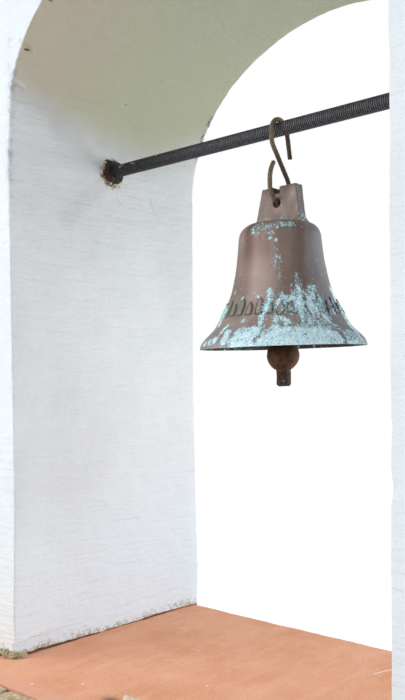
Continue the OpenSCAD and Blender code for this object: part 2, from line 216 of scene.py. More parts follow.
class Finish:
    """A material in the making: its patterns by name and the colour laid so far."""

    def __init__(self, name: str, base: str, noises: dict[str, Noise], masks: Sequence[str] = ()) -> None:
        """Starts a material.

        Args:
            name: The material's name.
            base: The colour that everything else lies on.
            noises: Noise patterns by name.
            masks: Names of the values that the mesh carries.
        """
        self.material = bpy.data.materials.new(name)
        self.material.use_nodes = True
        self.tree = self.material.node_tree
        self.tree.nodes.clear()
        self.colour: Any = linear(base)
        self.patterns = {"place": add(self.tree, "TexCoord", out="Object")}
        for mask in masks:
            kind = "Vector" if mask == "meridian" else "Fac"
            self.patterns[mask] = add(self.tree, "Attribute", out=kind, attribute_name=mask)
        for key, noise in noises.items():
            spot = self.patterns[noise.over]
            if noise.stretch != (1.0, 1.0, 1.0):
                spot = add(self.tree, "Mapping", {
                    "Vector": spot, "Rotation": (0.0, 0.0, noise.turn), "Scale": noise.stretch,
                })
            self.patterns[key] = add(self.tree, "TexNoise", {
                "Vector": spot, "Scale": per_mm(noise.size), "Detail": noise.detail, "Roughness": noise.rough,
                "Distortion": noise.warp,
            })

    def wired(self, links: dict) -> dict:
        """The same links, with the names of patterns turned to their outputs."""
        return {k: self.patterns[v] if isinstance(v, str) else v for k, v in links.items()}

    def keep(self, name: str, kind: str, links: dict, out: int | str = 0, **settings) -> None:
        """Adds any node and keeps its output as a pattern.

        Args:
            name: The pattern's name.
            kind: Type of the node.
            links: As in add; a word among them names a pattern.
            out: The output to keep.
            settings: The node's own properties.
        """
        self.patterns[name] = add(self.tree, kind, self.wired(links), out, **settings)

    def lay(self, *coats: Coat) -> None:
        """Lays coats of colour over what is there."""
        for coat in coats:
            share = add(self.tree, "MapRange", {
                "Value": self.patterns[coat.pattern], "From Min": coat.low, "From Max": coat.high,
                "To Max": coat.share,
            }, interpolation_type=coat.curve)
            shade = linear(coat.shade) if coat.shade.startswith("#") else self.patterns[coat.shade]
            self.colour = add(self.tree, "Mix", {0: share, 6: self.colour, 7: shade}, 2, data_type="RGBA")

    def draw(self, marks: Sequence[Mark]) -> None:
        """Draws small marks, each round the line between its two places."""
        for mark in marks:
            start, run = Vector(mark.start) * MM, (Vector(mark.end) - Vector(mark.start)) * MM
            self.keep("away", "VectorMath", {0: "place", 1: start}, operation="SUBTRACT")
            self.keep("along", "VectorMath", {
                0: "away", 1: run / run.length_squared,
            }, 1, operation="DOT_PRODUCT")
            self.keep("along", "MapRange", {"Value": "along"})
            self.keep("nearest", "VectorMath", {0: run, "Scale": "along"}, operation="SCALE")
            self.keep("gap", "VectorMath", {0: "away", 1: "nearest"}, 1, operation="DISTANCE")
            wide = mark.width * MM
            self.lay(Coat("gap", mark.shade, wide, 0.3 * wide, mark.strength, "SMOOTHSTEP"))

    def close(self, shader: dict, *bumps: tuple[str, float | str, float]) -> Material:
        """Ends the material.

        Args:
            shader: Inputs of the shader; a word among them names a pattern.
            bumps: For each bump its pattern, its strength and its depth in mm, the first one lowest.

        Returns:
            The material.
        """
        normal = {}
        for height, strength, depth in bumps:
            links = {"Height": height, "Strength": strength, "Distance": depth * MM}
            normal = {"Normal": add(self.tree, "Bump", {**self.wired(links), **normal})}
        surface = add(self.tree, "BsdfPrincipled", {
            "Base Color": self.colour, **self.wired(shader), **normal,
        })
        add(self.tree, "OutputMaterial", {"Surface": surface})
        return self.material


@dataclass(frozen=True)
class LimewashedPlaster:
    """Trowelled lime plaster under many coats of brushed limewash.

    Matt and chalky, with brush strokes that run level, sand grain, damp with painted shade on the soffit,
    and dirt over the sill. The mesh says where damp and painted shade, dirt, crumbs, specks and broken edges
    are.
    """

    lime: str = "#E5EBEF"
    thin_lime: str = "#D8DFE4"
    fresh_lime: str = "#DCE9F3"
    dusk: str = "#A9ACB0"
    damp_front: str = "#B1AA9B"
    damp_back: str = "#AAAD98"
    dirt: str = "#9A8C6A"
    broken: str = "#7A543C"
    speck: str = "#2A211B"
    ochre: str = "#B99A6C"
    brush_mm: float = 9.0
    sand_mm: float = 3.0
    coat_mm: float = 70.0
    marks: tuple[Mark, ...] = (
        Mark((-358, -164, 2171), (-356, -157, 2171), 3.2, "#2A211A"),
        Mark((-359, -170, 2184), (-352, -150, 2166), 9.0, "#8F7A5C", 0.3),
        Mark((-288, -164, 2240), (-288, -157, 2240), 3.6, "#6B4A38", 0.8),
        Mark((-360, 86, 2133), (-360, 90, 2133), 2.4, "#6F6A5B", 0.7),
        Mark((-388, -48, 2078), (-388, -38, 2077), 2.4, "#75675A", 0.8),
        Mark((-384, -172, 2121), (-384, -146, 2115), 4.6, "#E9EAEC", 0.18),
        Mark((-384, -172, 2112), (-384, -150, 2107), 4.0, "#8C8C8E", 0.3),
        Mark((-390, -166, 2043), (-390, -128, 2034), 6.0, "#E6E9ED", 0.2),
        Mark((-390, 185, 1962), (-390, 197, 1936), 2.4, "#8E9398", 0.3),
        Mark((-390, 197, 1936), (-390, 215, 1918), 2.0, "#8E9398", 0.2),
        Mark((-390, 90, 1945), (-390, 103, 1932), 3.0, "#9A9A98", 0.25),
        # A painted shadow of the bar: a soft grey band down the jamb from the nut
        Mark((-390, 50, 1968), (-390, -46, 1880), 26.0, "#9FA3A8", 0.16),
        Mark((-390, 45, 2001), (-390, 46, 1997), 2.4, "#4A3524", 0.9),
        Mark((-390, 47, 1985), (-390, 49, 1983), 3.0, "#3A291D", 0.9),
        Mark((-390, 56, 1972), (-390, 60, 1970), 2.6, "#4A3524", 0.8),
        Mark((-390, 76, 1964), (-390, 79, 1964), 2.6, "#5A4230", 0.8),
        Mark((-390, 95, 1968), (-390, 97, 1969), 2.0, "#5A4230", 0.7),
        Mark((-390, 74, 2025), (-390, 92, 2021), 1.8, "#3A291D", 0.6),
    )

    def material(self) -> Material:
        """Builds the material."""
        finish = Finish("limewashed_plaster", self.lime, {
            # A brush stroke is about ten times as long as it is wide, and strokes run level
            "brush": Noise(self.brush_mm, 2.5, 0.55, 0.4, (0.1, 0.1, 1.0)),
            "sand": Noise(self.sand_mm, 2.0, 0.7),
            "dab": Noise(4 * self.sand_mm, 3.0, 0.6),
            "coat": Noise(self.coat_mm, 4.0, 0.55),
        }, ("damp", "dirt", "broken", "speck", "ochre", "rear", "crumb", "fresh"))
        finish.keep("wet", "Mix", {
            0: "rear", 6: linear(self.damp_front), 7: linear(self.damp_back),
        }, 2, data_type="RGBA")
        # Mud splashes up from the ground
        finish.keep("height", "SeparateXYZ", {"Vector": "place"}, "Z")
        finish.keep("splash", "Math", {0: "coat", 1: -0.2, 2: "height"}, operation="MULTIPLY_ADD")
        finish.keep("splash", "MapRange", {
            "Value": "splash", "From Min": 0.06, "From Max": -0.12,
        }, interpolation_type="SMOOTHSTEP")
        finish.keep("soiled", "Math", {0: "dirt", 1: "splash"}, operation="MAXIMUM")
        # Dirt sits in sparse grains, not as a film
        finish.keep("grains", "Math", {0: "sand", 1: "dab"}, operation="ADD")
        finish.keep("grains", "Math", {0: "soiled", 1: 1.15, 2: "grains"}, operation="MULTIPLY_ADD")
        # Painted shade: the hollows of the crumbs along the arrises are painted grey
        finish.keep("dust", "MapRange", {"Value": "dab", "From Min": 0.56, "From Max": 0.42, "To Max": 0.4})
        finish.keep("dust", "Math", {0: "crumb", 1: "dust"}, operation="MULTIPLY")
        # Rust stains only the looser grains round the nuts
        finish.keep("loose", "MapRange", {"Value": "sand", "From Min": 0.46, "From Max": 0.56})
        finish.keep("loose", "Math", {0: "ochre", 1: "loose"}, operation="MULTIPLY")
        finish.lay(
            Coat("coat", self.thin_lime, 0.35, 0.7, 0.5),
            Coat("brush", self.thin_lime, 0.3, 0.75, 0.3),
            # Painted light: towards the sill the wash is made bluer, against the warm light that the screed
            # throws up
            Coat("fresh", self.fresh_lime),
            # Under the arch the wash greys as painted shade, then turns to beige and olive, part damp and
            # part painted shade, greener towards the back as painted bounce light
            Coat("damp", self.dusk, 0.0, 0.6, 0.6),
            Coat("damp", "wet", 0.35, 0.95, curve="SMOOTHSTEP"),
            Coat("grains", self.dirt, 1.32, 1.62, 0.85),
            Coat("dust", self.dusk),
        )
        finish.draw(self.marks)
        finish.lay(Coat("loose", self.ochre), Coat("broken", self.broken), Coat("speck", self.speck))
        return finish.close(
            {"Roughness": 0.92, "IOR": LIME_IOR},
            ("brush", 1.0, 3.0), ("dab", 0.9, 1.3), ("sand", 0.8, 0.6), ("dab", "crumb", 9.0),
        )


@dataclass(frozen=True)
class TerracottaScreed:
    """Cement screed, steel trowelled and painted terracotta, walked and rained on.

    Matt, salmon coloured, with paler worn streaks, fine dark and pale grit showing through.
    """

    paint: str = "#EDAC89"
    worn: str = "#E6AA94"
    deep: str = "#DE966B"
    pale: str = "#F5C0A0"
    pale_grit: str = "#F6E6DA"
    dark_grit: str = "#8E5C49"
    recess: str = "#5A3A2C"
    streak_mm: float = 30.0
    grit_mm: float = 3.0
    cloud_mm: float = 150.0
    marks: tuple[Mark, ...] = (
        Mark((-259, -229, 1050), (-259, -226, 1050), 2.8, "#FBEFE6", 0.8),
        Mark((-194, -173, 1050), (-194, -170, 1050), 2.8, "#FBEFE6", 0.8),
        Mark((-30, -41, 1050), (-30, -39, 1050), 3.0, "#FBEFE6", 0.8),
        Mark((60, -121, 1050), (60, -119, 1050), 3.0, "#FBEFE6", 0.8),
        Mark((-172, 8, 1050), (-160, 16, 1050), 5.0, "#F3D9C8", 0.4),
        Mark((-289, 168, 1050), (-277, 174, 1050), 5.0, "#F3D9C8", 0.4),
        Mark((-172, 83, 1050), (-164, 87, 1050), 5.0, "#F3D9C8", 0.35),
        Mark((152, 195, 1050), (160, 222, 1050), 3.2, "#F8E6DA", 0.8),
        Mark((160, 222, 1050), (171, 248, 1050), 3.2, "#F8E6DA", 0.8),
    )

    def material(self) -> Material:
        """Builds the material."""
        finish = Finish("terracotta_screed", self.paint, {
            # The trowel ran from front to back in wide shallow fans, a little askew
            "streak": Noise(self.streak_mm, 5.0, 0.55, 0.8, (1.0, 0.3, 1.0), 0.35),
            "cloud": Noise(self.cloud_mm, 4.0),
            "grit": Noise(self.grit_mm, 2.0, 0.8),
        }, ("worn", "recess"))
        finish.lay(
            Coat("cloud", self.deep, 0.38, 0.66, 0.75),
            Coat("streak", self.pale, 0.45, 0.75, 0.55),
            Coat("grit", self.pale_grit, 0.6, 0.7, 0.45),
            Coat("grit", self.dark_grit, 0.42, 0.28, 0.6),
            Coat("worn", self.worn),
            Coat("recess", self.recess),
        )
        finish.draw(self.marks)
        return finish.close({"Roughness": 0.85, "IOR": CEMENT_IOR}, ("streak", 0.25, 1.2), ("grit", 0.4, 0.5))


@dataclass(frozen=True)
class CoarseStone:
    """Coarse broken stone or old mortar, weathered.

    Each grain shows: sandy, grey and brown grains with dark pits between them.
    """

    name: str = "coarse_sandstone"
    sand: str = "#D3BF9C"
    pale: str = "#E9DDC6"
    brown: str = "#B08F5E"
    pit: str = "#5E4A34"
    grain_mm: float = 2.8
    patch_mm: float = 30.0
    pit_share: float = 0.44

    def material(self) -> Material:
        """Builds the material."""
        finish = Finish(self.name, self.sand, {
            "patch": Noise(self.patch_mm, 4.0, 0.6), "crumb": Noise(self.grain_mm * 0.8, 3.0, 0.75),
        })
        finish.keep("grain", "TexVoronoi", {"Vector": "place", "Scale": per_mm(self.grain_mm)}, "Color")
        finish.keep("tint", "SeparateColor", {"Color": "grain"})
        finish.lay(
            Coat("patch", self.brown, 0.35, 0.65),
            Coat("tint", self.pale, 0.45, 1.0, 0.85),
            Coat("crumb", self.pit, self.pit_share - 0.02, self.pit_share - 0.14),
        )
        return finish.close({"Roughness": 0.95, "IOR": STONE_IOR}, ("crumb", 0.9, 2.0))


@dataclass(frozen=True)
class BlackenedSteel:
    """Hot rolled ribbed bar, blackened with old paint and soot.

    Nearly black, with the ribs' crests rubbed to a soft grey, which also stands for painted glints, and a few
    bright chips.
    """

    black: str = "#151418"
    rubbed: str = "#74747C"
    chip: str = "#B9B4AE"
    mottle_mm: float = 5.0

    def material(self) -> Material:
        """Builds the material."""
        finish = Finish(
            "blackened_steel", self.black, {"mottle": Noise(self.mottle_mm, 4.0, 0.7)}, ("crest", "chip"))
        finish.keep("rub", "Math", {0: "crest", 1: "mottle"}, operation="MULTIPLY")
        finish.keep("rough", "MapRange", {
            "Value": "mottle", "From Min": 0.3, "From Max": 0.7, "To Min": 0.42, "To Max": 0.7,
        })
        finish.lay(Coat("rub", self.rubbed, 0.24, 0.55, 0.9), Coat("chip", self.chip))
        return finish.close({"Metallic": 0.25, "Roughness": "rough"}, ("mottle", 0.4, 0.5))


@dataclass(frozen=True)
class RustedIron:
    """Forged or cut iron rusted through its scale.

    Dull brown scale with orange bloom in the pits and darker handled places; a mesh may also carry painted
    light and shade in these same colours.
    """

    name: str
    scale: str
    bloom: str
    dark: str
    bloom_share: float = 0.5
    pit_mm: float = 1.6
    patch_mm: float = 14.0

    def material(self) -> Material:
        """Builds the material."""
        finish = Finish(self.name, self.scale, {
            "patch": Noise(self.patch_mm, 5.0, 0.65), "pit": Noise(self.pit_mm, 3.0, 0.7),
        }, ("rust", "wear"))
        finish.keep("level", "Math", {0: "patch", 1: "rust"}, operation="ADD")
        finish.lay(
            Coat("pit", self.dark, 0.6, 0.35),
            Coat("level", self.bloom, self.bloom_share, self.bloom_share + 0.25, 0.85),
            Coat("wear", self.dark),
        )
        return finish.close({"Metallic": 0.15, "Roughness": 0.78}, ("pit", 0.6, 0.5), ("patch", 0.5, 1.0))


@dataclass(frozen=True)
class WeatheredBronze:
    """Sand cast bell bronze, brown with age, with verdigris where water runs and sits.

    The brown is a thin dull film over metal, so it keeps a soft sheen. Verdigris is a chalky pale
    cyan crust, thick on the lip and in runs down the meridians. The mesh says where it grows.
    """

    brown: str = "#99877F"
    dark: str = "#5B4A44"
    rose: str = "#A8948C"
    dusk: str = "#614A40"
    cool: str = "#60646A"
    soot: str = "#2B211C"
    rust: str = "#8A5634"
    verdigris: str = "#9FCAD6"
    crust: str = "#C8ECF6"
    chalk: str = "#FCFFFF"
    green: str = "#869488"
    run_mm: float = 5.0
    fleck_mm: float = 2.6
    clump_mm: float = 9.0
    cast_mm: float = 34.0

    def material(self) -> Material:
        """Builds the material."""
        finish = Finish("weathered_bell_bronze", self.brown, {
            # The mesh keeps a coordinate with its height shrunk, so that runs stretch down the bell
            "run": Noise(self.run_mm, 4.0, 0.65, over="meridian"),
            "fleck": Noise(self.fleck_mm, 3.0, 0.7),
            "clump": Noise(self.clump_mm, 4.0, 0.65, 0.6),
            "chalk": Noise(1.6 * self.fleck_mm, 2.0, 0.8),
            "cast": Noise(self.cast_mm, 5.0, 0.6),
        }, ("meridian", "verdigris", "green", "soot", "rose", "rust", "dusk", "cool"))
        # Rose highlight, painted shade and cool shade are painted light, soot goes with painted shade, and
        # green and rust are stains
        finish.lay(
            Coat("cast", self.dark, 0.35, 0.7, 0.45),
            Coat("run", self.rose, 0.45, 0.8, 0.2),
            *(Coat(name, getattr(self, name)) for name in ("rose", "dusk", "cool", "green", "soot", "rust")),
        )
        # Crust is where the mesh's share of cover, broken by flecks and runs, passes a level
        level = "verdigris"
        for pattern, weight in (("fleck", 2.1), ("clump", 1.2), ("run", 0.9)):
            finish.keep("level", "Math", {0: pattern, 1: weight, 2: level}, operation="MULTIPLY_ADD")
            level = "level"
        finish.keep("cover", "MapRange", {"Value": "level", "From Min": 2.5, "From Max": 2.62})
        finish.keep("thick", "MapRange", {"Value": "level", "From Min": 2.62, "From Max": 2.95})
        finish.keep("white", "MapRange", {"Value": "chalk", "From Min": 0.5, "From Max": 0.64})
        finish.keep("white", "Math", {0: "thick", 1: "white"}, operation="MULTIPLY")
        finish.keep("crust", "Mix", {
            0: "thick", 6: linear(self.verdigris), 7: linear(self.crust),
        }, 2, data_type="RGBA")
        finish.keep("crust", "Mix", {0: "white", 6: "crust", 7: linear(self.chalk)}, 2, data_type="RGBA")
        finish.lay(Coat("cover", "crust"))
        # Neither crust nor the soot and painted shade shines
        finish.keep("dull", "Math", {0: "cover", 1: "soot"}, operation="MAXIMUM")
        finish.keep("metal", "MapRange", {"Value": "dull", "To Min": 0.4, "To Max": 0.0})
        finish.keep("rough", "MapRange", {"Value": "dull", "To Min": 0.6, "To Max": 0.92})
        return finish.close(
            {"Metallic": "metal", "Roughness": "rough"}, ("cover", 0.6, 0.5), ("fleck", 0.3, 0.4))


@dataclass(frozen=True)
class PaleFloor:
    """Plain pale studio floor, slightly uneven in tone."""

    tone: str = "#F2F2F0"
    shade: str = "#ECECEA"
    cloud_mm: float = 400.0
    glow: float = 0.45

    def material(self) -> Material:
        """Builds the material."""
        finish = Finish("pale_studio_floor", self.tone, {"cloud": Noise(self.cloud_mm)})
        finish.lay(Coat("cloud", self.shade))
        # A little glow for the camera alone whitens the open floor and leaves the shadow on it
        finish.keep("seen", "LightPath", {}, "Is Camera Ray")
        finish.keep("glow", "MapRange", {"Value": "seen", "To Max": self.glow})
        return finish.close({
            "Roughness": 0.9, "Emission Color": (1.0, 1.0, 1.0, 1.0), "Emission Strength": "glow",
        })


def put(name: str, data: bpy.types.ID) -> Object:
    """Makes an object of a mesh, a lamp or a camera and puts it in the scene."""
    obj = bpy.data.objects.new(name, data)
    bpy.context.scene.collection.objects.link(obj)
    return obj


def put_shape(name: str, shape: bmesh.types.BMesh) -> Object:
    """Makes an object of a shape, which is used up."""
    mesh = bpy.data.meshes.new(name)
    shape.to_mesh(mesh)
    shape.free()
    return put(name, mesh)


def solid(name: str, points: np.ndarray, faces: Sequence[Sequence[int]]) -> Object:
    """Makes an object from points and faces and turns its faces outwards.

    Args:
        name: The object's name.
        points: Places in mm, one row each.
        faces: Corner numbers of each face.

    Returns:
        The object.
    """
    mesh = bpy.data.meshes.new(name)
    mesh.from_pydata((np.asarray(points).reshape(-1, 3) * MM).tolist(), [], [list(f) for f in faces])
    shape = bmesh.new()
    shape.from_mesh(mesh)
    bmesh.ops.recalc_face_normals(shape, faces=shape.faces)
    shape.to_mesh(mesh)
    shape.free()
    return put(name, mesh)


def quads(index: np.ndarray) -> np.ndarray:
    """Corner numbers of the faces between the neighbours in a grid of point numbers."""
    return np.stack([index[:-1, :-1], index[:-1, 1:], index[1:, 1:], index[1:, :-1]], -1)


def tube(name: str, rings: np.ndarray, closed: bool = False) -> Object:
    """Makes an object from rings of points.

    Args:
        name: The object's name.
        rings: Rings by points by three, in mm. Each ring is closed.
        closed: Whether the last ring meets the first. If not, a face closes each end.

    Returns:
        The object.
    """
    index = np.arange(rings.shape[0] * rings.shape[1]).reshape(rings.shape[:2])
    ends = [] if closed else [index[0][::-1].tolist(), index[-1].tolist()]
    index = np.hstack([index, index[:, :1]])
    if closed:
        index = np.vstack([index, index[:1]])
    return solid(name, rings, quads(index).reshape(-1, 4).tolist() + ends)


def slab(name: str, outline: np.ndarray, half: float) -> Object:
    """A plate in the plane of X.

    Args:
        name: The object's name.
        outline: Its corners as (x, z), in mm.
        half: Half its thickness along Y, in mm.

    Returns:
        The object.
    """
    ring = points_at(outline[:, 0], -half, outline[:, 1])
    return tube(name, np.stack([ring, ring + [0, 2 * half, 0]]))


def places(obj: Object) -> np.ndarray:
    """The points of an object's mesh, in mm."""
    flat = np.empty(len(obj.data.vertices) * 3, np.float32)
    obj.data.vertices.foreach_get("co", flat)
    return flat.reshape(-1, 3).astype(float) / MM


def move(obj: Object, points: np.ndarray) -> None:
    """Puts the points of an object's mesh at other places, given in mm."""
    obj.data.vertices.foreach_set("co", (points * MM).astype(np.float32).ravel())
    obj.data.update()


def facing(obj: Object) -> np.ndarray:
    """The outward direction at each point of an object's mesh."""
    flat = np.empty(len(obj.data.vertices) * 3, np.float32)
    obj.data.vertex_normals.foreach_get("vector", flat)
    return flat.reshape(-1, 3).astype(float)


def roughen(obj: Object, lift: Callable[[np.ndarray], np.ndarray]) -> None:
    """Moves each point out along its own direction.

    Args:
        obj: The object.
        lift: Gives how far, in mm, for places in mm.
    """
    points = places(obj)
    move(obj, points + facing(obj) * lift(points)[:, None])


def paint(obj: Object, **masks: np.ndarray) -> None:
    """Keeps values for each point of the mesh, for a material to read.

    Args:
        obj: The object.
        masks: By the name that the material asks for, a number or three numbers for each point.
    """
    for name, values in masks.items():
        vector = np.ndim(values) == 2
        layer = obj.data.attributes.new(name, "FLOAT_VECTOR" if vector else "FLOAT", "POINT")
        layer.data.foreach_set("vector" if vector else "value", np.asarray(values, np.float32).ravel())


def smooth(obj: Object, sharp_from: float = 40.0) -> None:
    """Shades an object smooth, with edges kept sharp above an angle in degrees."""
    obj.data.shade_smooth()
    obj.data.set_sharp_from_angle(angle=math.radians(sharp_from))


def settle(obj: Object) -> None:
    """Applies an object's modifiers to its mesh."""
    graph = bpy.context.evaluated_depsgraph_get()
    graph.update()
    mesh = bpy.data.meshes.new_from_object(obj.evaluated_get(graph))
    obj.modifiers.clear()
    obj.data = mesh


def fuse(obj: Object, voxel: float, rounds: int) -> None:
    """Fuses the overlapping solids of a mesh to one skin with soft edges.

    Args:
        obj: The object.
        voxel: Size of the skin's faces, in mm.
        rounds: How many times its edges are eased.
    """
    mesher = obj.modifiers.new("fuse", "REMESH")
    mesher.mode = "VOXEL"
    mesher.voxel_size = voxel * MM
    easer = obj.modifiers.new("ease", "SMOOTH")
    easer.factor = 0.5
    easer.iterations = rounds
    settle(obj)


def join(name: str, parts: Sequence[Object]) -> Object:
    """Joins the meshes of several objects in one.

    Args:
        name: The name of the joined object.
        parts: The objects, which are used up.

    Returns:
        The joined object.
    """
    shape = bmesh.new()
    for part in parts:
        shape.from_mesh(part.data)
        bpy.data.objects.remove(part)
    return put_shape(name, shape)


def cut(obj: Object, tool: Object) -> None:
    """Cuts one closed mesh out of another and removes the tool."""
    step = obj.modifiers.new("cut", "BOOLEAN")
    step.operation = "DIFFERENCE"
    step.solver = "EXACT"
    step.object = tool
    settle(obj)
    bpy.data.objects.remove(tool)


def dress(
    obj: Object, body: Body, slot: str, material: Material, *nodes: str
) -> Object:
    """Gives a piece its material, its body and the CAD nodes that it stands for.

    Args:
        obj: The piece.
        body: The body that it rides on.
        slot: The record's material slot. Not used.
        material: The material.
        nodes: CAD nodes that the piece stands for.

    Returns:
        The piece.
    """
    obj.data.materials.clear()
    obj.data.materials.append(material)
    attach(obj, body.value)
    if nodes:
        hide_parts(*nodes)
    log.info("%s: %d points on %s", obj.name, len(obj.data.vertices), body.value)
    return obj


def graded(length: float, fine: float, coarse: float, growth: float = 1.25) -> np.ndarray:
    """Fractions along a length with fine steps at both ends and coarse ones between.

    Args:
        length: The length in mm.
        fine: First and last step in mm.
        coarse: Widest step in mm.
        growth: How much wider each step is than the one before.

    Returns:
        Fractions from 0 to 1.
    """
    half = [0.0]
    step = fine
    while half[-1] + step < length / 2:
        half.append(half[-1] + step)
        step = min(step * growth, coarse)
    near = np.array(half) / length
    return np.concatenate([near, 1 - near[::-1]])


def rounded_loop(
    corners: Sequence[np.ndarray], radii: Sequence[np.ndarray], fractions: Sequence[np.ndarray], steps: int
) -> np.ndarray:
    """Closed loops through corners that are rounded, one loop for each station.

    Args:
        corners: For each corner in turn, its place at all stations, in mm.
        radii: For each corner, how far from it the rounding begins, at all stations.
        fractions: For each side from a corner to the next, the steps along its straight part.
        steps: Steps round each corner.

    Returns:
        Stations by points by three, in mm.
    """
    columns = []
    count = len(corners)
    for i in range(count):
        here, there, after = corners[i], corners[(i + 1) % count], corners[(i + 2) % count]
        along = there - here
        along /= np.linalg.norm(along, axis=1, keepdims=True)
        onward = after - there
        onward /= np.linalg.norm(onward, axis=1, keepdims=True)
        start = here + along * radii[i][:, None]
        end = there - along * radii[(i + 1) % count][:, None]
        leave = there + onward * radii[(i + 1) % count][:, None]
        columns += [start + (end - start) * f for f in fractions[i]]
        for t in np.arange(1, steps) / steps:
            columns.append((1 - t) ** 2 * end + 2 * t * (1 - t) * there + t**2 * leave)
    return np.stack(columns, axis=1)


def lump(
    centre: Sequence[float], size: Sequence[float], grain: Grain, fineness: int = 4
) -> Object:
    """Makes one broken lump.

    Args:
        centre: Its middle, in mm.
        size: Its three half widths, in mm.
        grain: The noise that breaks its outline.
        fineness: How often the ball that it starts from is divided.

    Returns:
        The lump, as an object.
    """
    shape = bmesh.new()
    bmesh.ops.create_icosphere(shape, subdivisions=fineness, radius=1.0)
    obj = put_shape("lump", shape)
    way = places(obj) * MM
    spread = np.asarray(size, float)
    spot = way * spread + np.asarray(centre, float)
    # The noise bites in by up to about half the size
    bite = 1 + 0.45 * grain.at(spot, spread.mean() * 0.9, 3)
    move(obj, way * spread * bite[:, None] + np.asarray(centre, float))
    return obj


@dataclass
class Masonry:
    """The plastered wall with its arch, the breast wall under it and the cap on top."""

    half_open: float = 390.0
    half_wide: float = 820.0
    front: float = -175.0
    back: float = 325.0
    base_front: float = -347.0
    ledge_back: float = -262.0
    ledge: float = 980.0
    bed: float = 1020.0
    sill: float = 1050.0
    top: float = 2665.0
    front_spring: float = 2070.0
    front_rise: float = 255.0
    back_spring: float = 1977.0
    back_rise: float = 321.0
    bar_y: float = 75.0
    bar_z: float = 1995.0
    hole_r: float = 27.0
    hole_depth: float = 8.0
    cap_over: float = 22.0
    cap_edge: float = 38.0
    cap_rise: float = 42.0
    # Left front arris: heights, and how far it leans into the opening there
    arris_z: tuple[float, ...] = (1080, 1120, 1210, 1305, 1445, 1630, 1720, 1860, 1995, 2085)
    arris_out: tuple[float, ...] = (8.0, 5.0, 7.0, 8.0, 6.0, 2.0, -0.5, -3.0, -4.5, 2.0)
    # Rear arrises: heights, and how far they bulge out there
    rear_z: tuple[float, ...] = (1030, 1050, 1085, 1140, 1194, 1300, 1410, 1480)
    rear_out: tuple[float, ...] = (0.0, 4.0, 4.8, 6.6, 5.6, 2.7, 1.5, 0.0)
    # Soffit: depths, and how far up the arch the damp and painted shade begin there
    damp_y: tuple[float, ...] = (-165, -65, 90, 190, 325)
    damp_from: tuple[float, ...] = (0.28, 0.19, 0.2, 0.25, 0.45)
    # Foot of the left jamb: depths, and the gap under the plaster there
    foot_y: tuple[float, ...] = (-136, -101, -65, -28, -2, 32, 43, 65, 93, 150, 180, 202, 227, 259, 292, 326)
    foot_gap: tuple[float, ...] = (
        4.0, 4.4, 3.2, 2.4, 3.0, 1.4, 0.0, 1.4, 0.8, 1.4, 2.4, 3.4, 2.4, 2.0, 2.4, 1.4)

    def __post_init__(self) -> None:
        """Keeps the wall's own noise, shared by its skins so that they meet."""
        self.grain = Grain(11)

    def wave(self, points: np.ndarray) -> np.ndarray:
        """How far the plaster swells out, in mm."""
        return 1.5 * self.grain.at(points, 170.0) + 0.7 * self.grain.at(points, 48.0, 2)

    def stations(self) -> tuple[np.ndarray, np.ndarray, np.ndarray]:
        """Steps from the left foot of the opening over the arch to the right foot.

        Returns:
            Front corner, back corner and outer corner at each station, in mm.
        """
        foot = np.concatenate([
            np.arange(self.bed, self.sill - 3, 5.0), np.arange(self.sill - 3, self.sill + 12, 1.0),
            np.arange(self.sill + 12, self.sill + 28, 2.5),
        ])
        jamb_left = np.concatenate([foot, np.arange(foot[-1] + 3.4, self.front_spring - 1, 3.4)])
        jamb_right = np.concatenate([foot[::2], np.arange(foot[-1] + 6, self.front_spring - 4, 12.0)])
        turn = np.concatenate([
            np.arange(180, 142, -0.62), np.arange(142, 90, -1.3), np.arange(90, 0, -2.2), [0.0]])
        low = self.front_spring - self.bed
        front, rear, outer = [], [], []
        for sign, heights in ((-1, jamb_left), (1, jamb_right[::-1])):
            share = (heights - self.bed) / low
            x = sign * self.half_open
            front.append(points_at(x, self.front, heights))
            rear.append(points_at(x, self.back, self.bed + share * (self.back_spring - self.bed)))
            outer.append(points_at(sign * self.half_wide, self.front, heights))
        angle = np.radians(turn)
        arch_x = self.half_open * np.cos(angle)
        arch_front = points_at(arch_x, self.front, self.front_spring + self.front_rise * np.sin(angle))
        arch_back = points_at(arch_x, self.back, self.back_spring + self.back_rise * np.sin(angle))
        # The outer line climbs the end of the wall until the corner, then runs along its top
        corner = 45.0
        climb = np.minimum(np.minimum(180 - turn, turn) / corner, 1.0)
        run = np.clip((turn - corner) / (180 - 2 * corner), 0.0, 1.0)
        arch_out = points_at(
            self.half_wide * (1 - 2 * run), self.front,
            self.front_spring + (self.top - self.front_spring) * climb)
        join_up = [np.vstack([a[0], b, a[1]]) for a, b in
                   ((front, arch_front), (rear, arch_back), (outer, arch_out))]
        return join_up[0], join_up[1], join_up[2]

    def shell(self) -> Object:
        """The plaster skin round the opening, from the sill's bed to the top of the wall."""
        front, rear, outer = self.stations()
        outer_rear = outer.copy()
        outer_rear[:, 1] = self.back
        soft = 2.6 + 1.2 * self.grain.at(front, 30.0, 2)
        soft_rear = 3.4 + 1.4 * self.grain.at(rear, 40.0, 2)
        slim = np.full(len(front), 5.0)
        thick = self.back - self.front
        pier = self.half_wide - self.half_open
        rings = rounded_loop(
            [outer, front, rear, outer_rear], [slim, soft, soft_rear, slim], [
                graded(pier, 1.6, 24.0), graded(thick, 1.6, 8.0), graded(pier, 4.0, 45.0),
                graded(thick, 8.0, 90.0),
            ], 5)
        rings = self.chip_arris(rings, front, rear, outer)
        shell = tube("plaster_shell", rings)
        roughen(shell, self.wave)
        self.lean_arrises(shell)
        self.undercut(shell)
        for side in Side:
            cut(shell, self.hole_tool(side))
        self.stain(shell)
        smooth(shell, 50.0)
        return shell

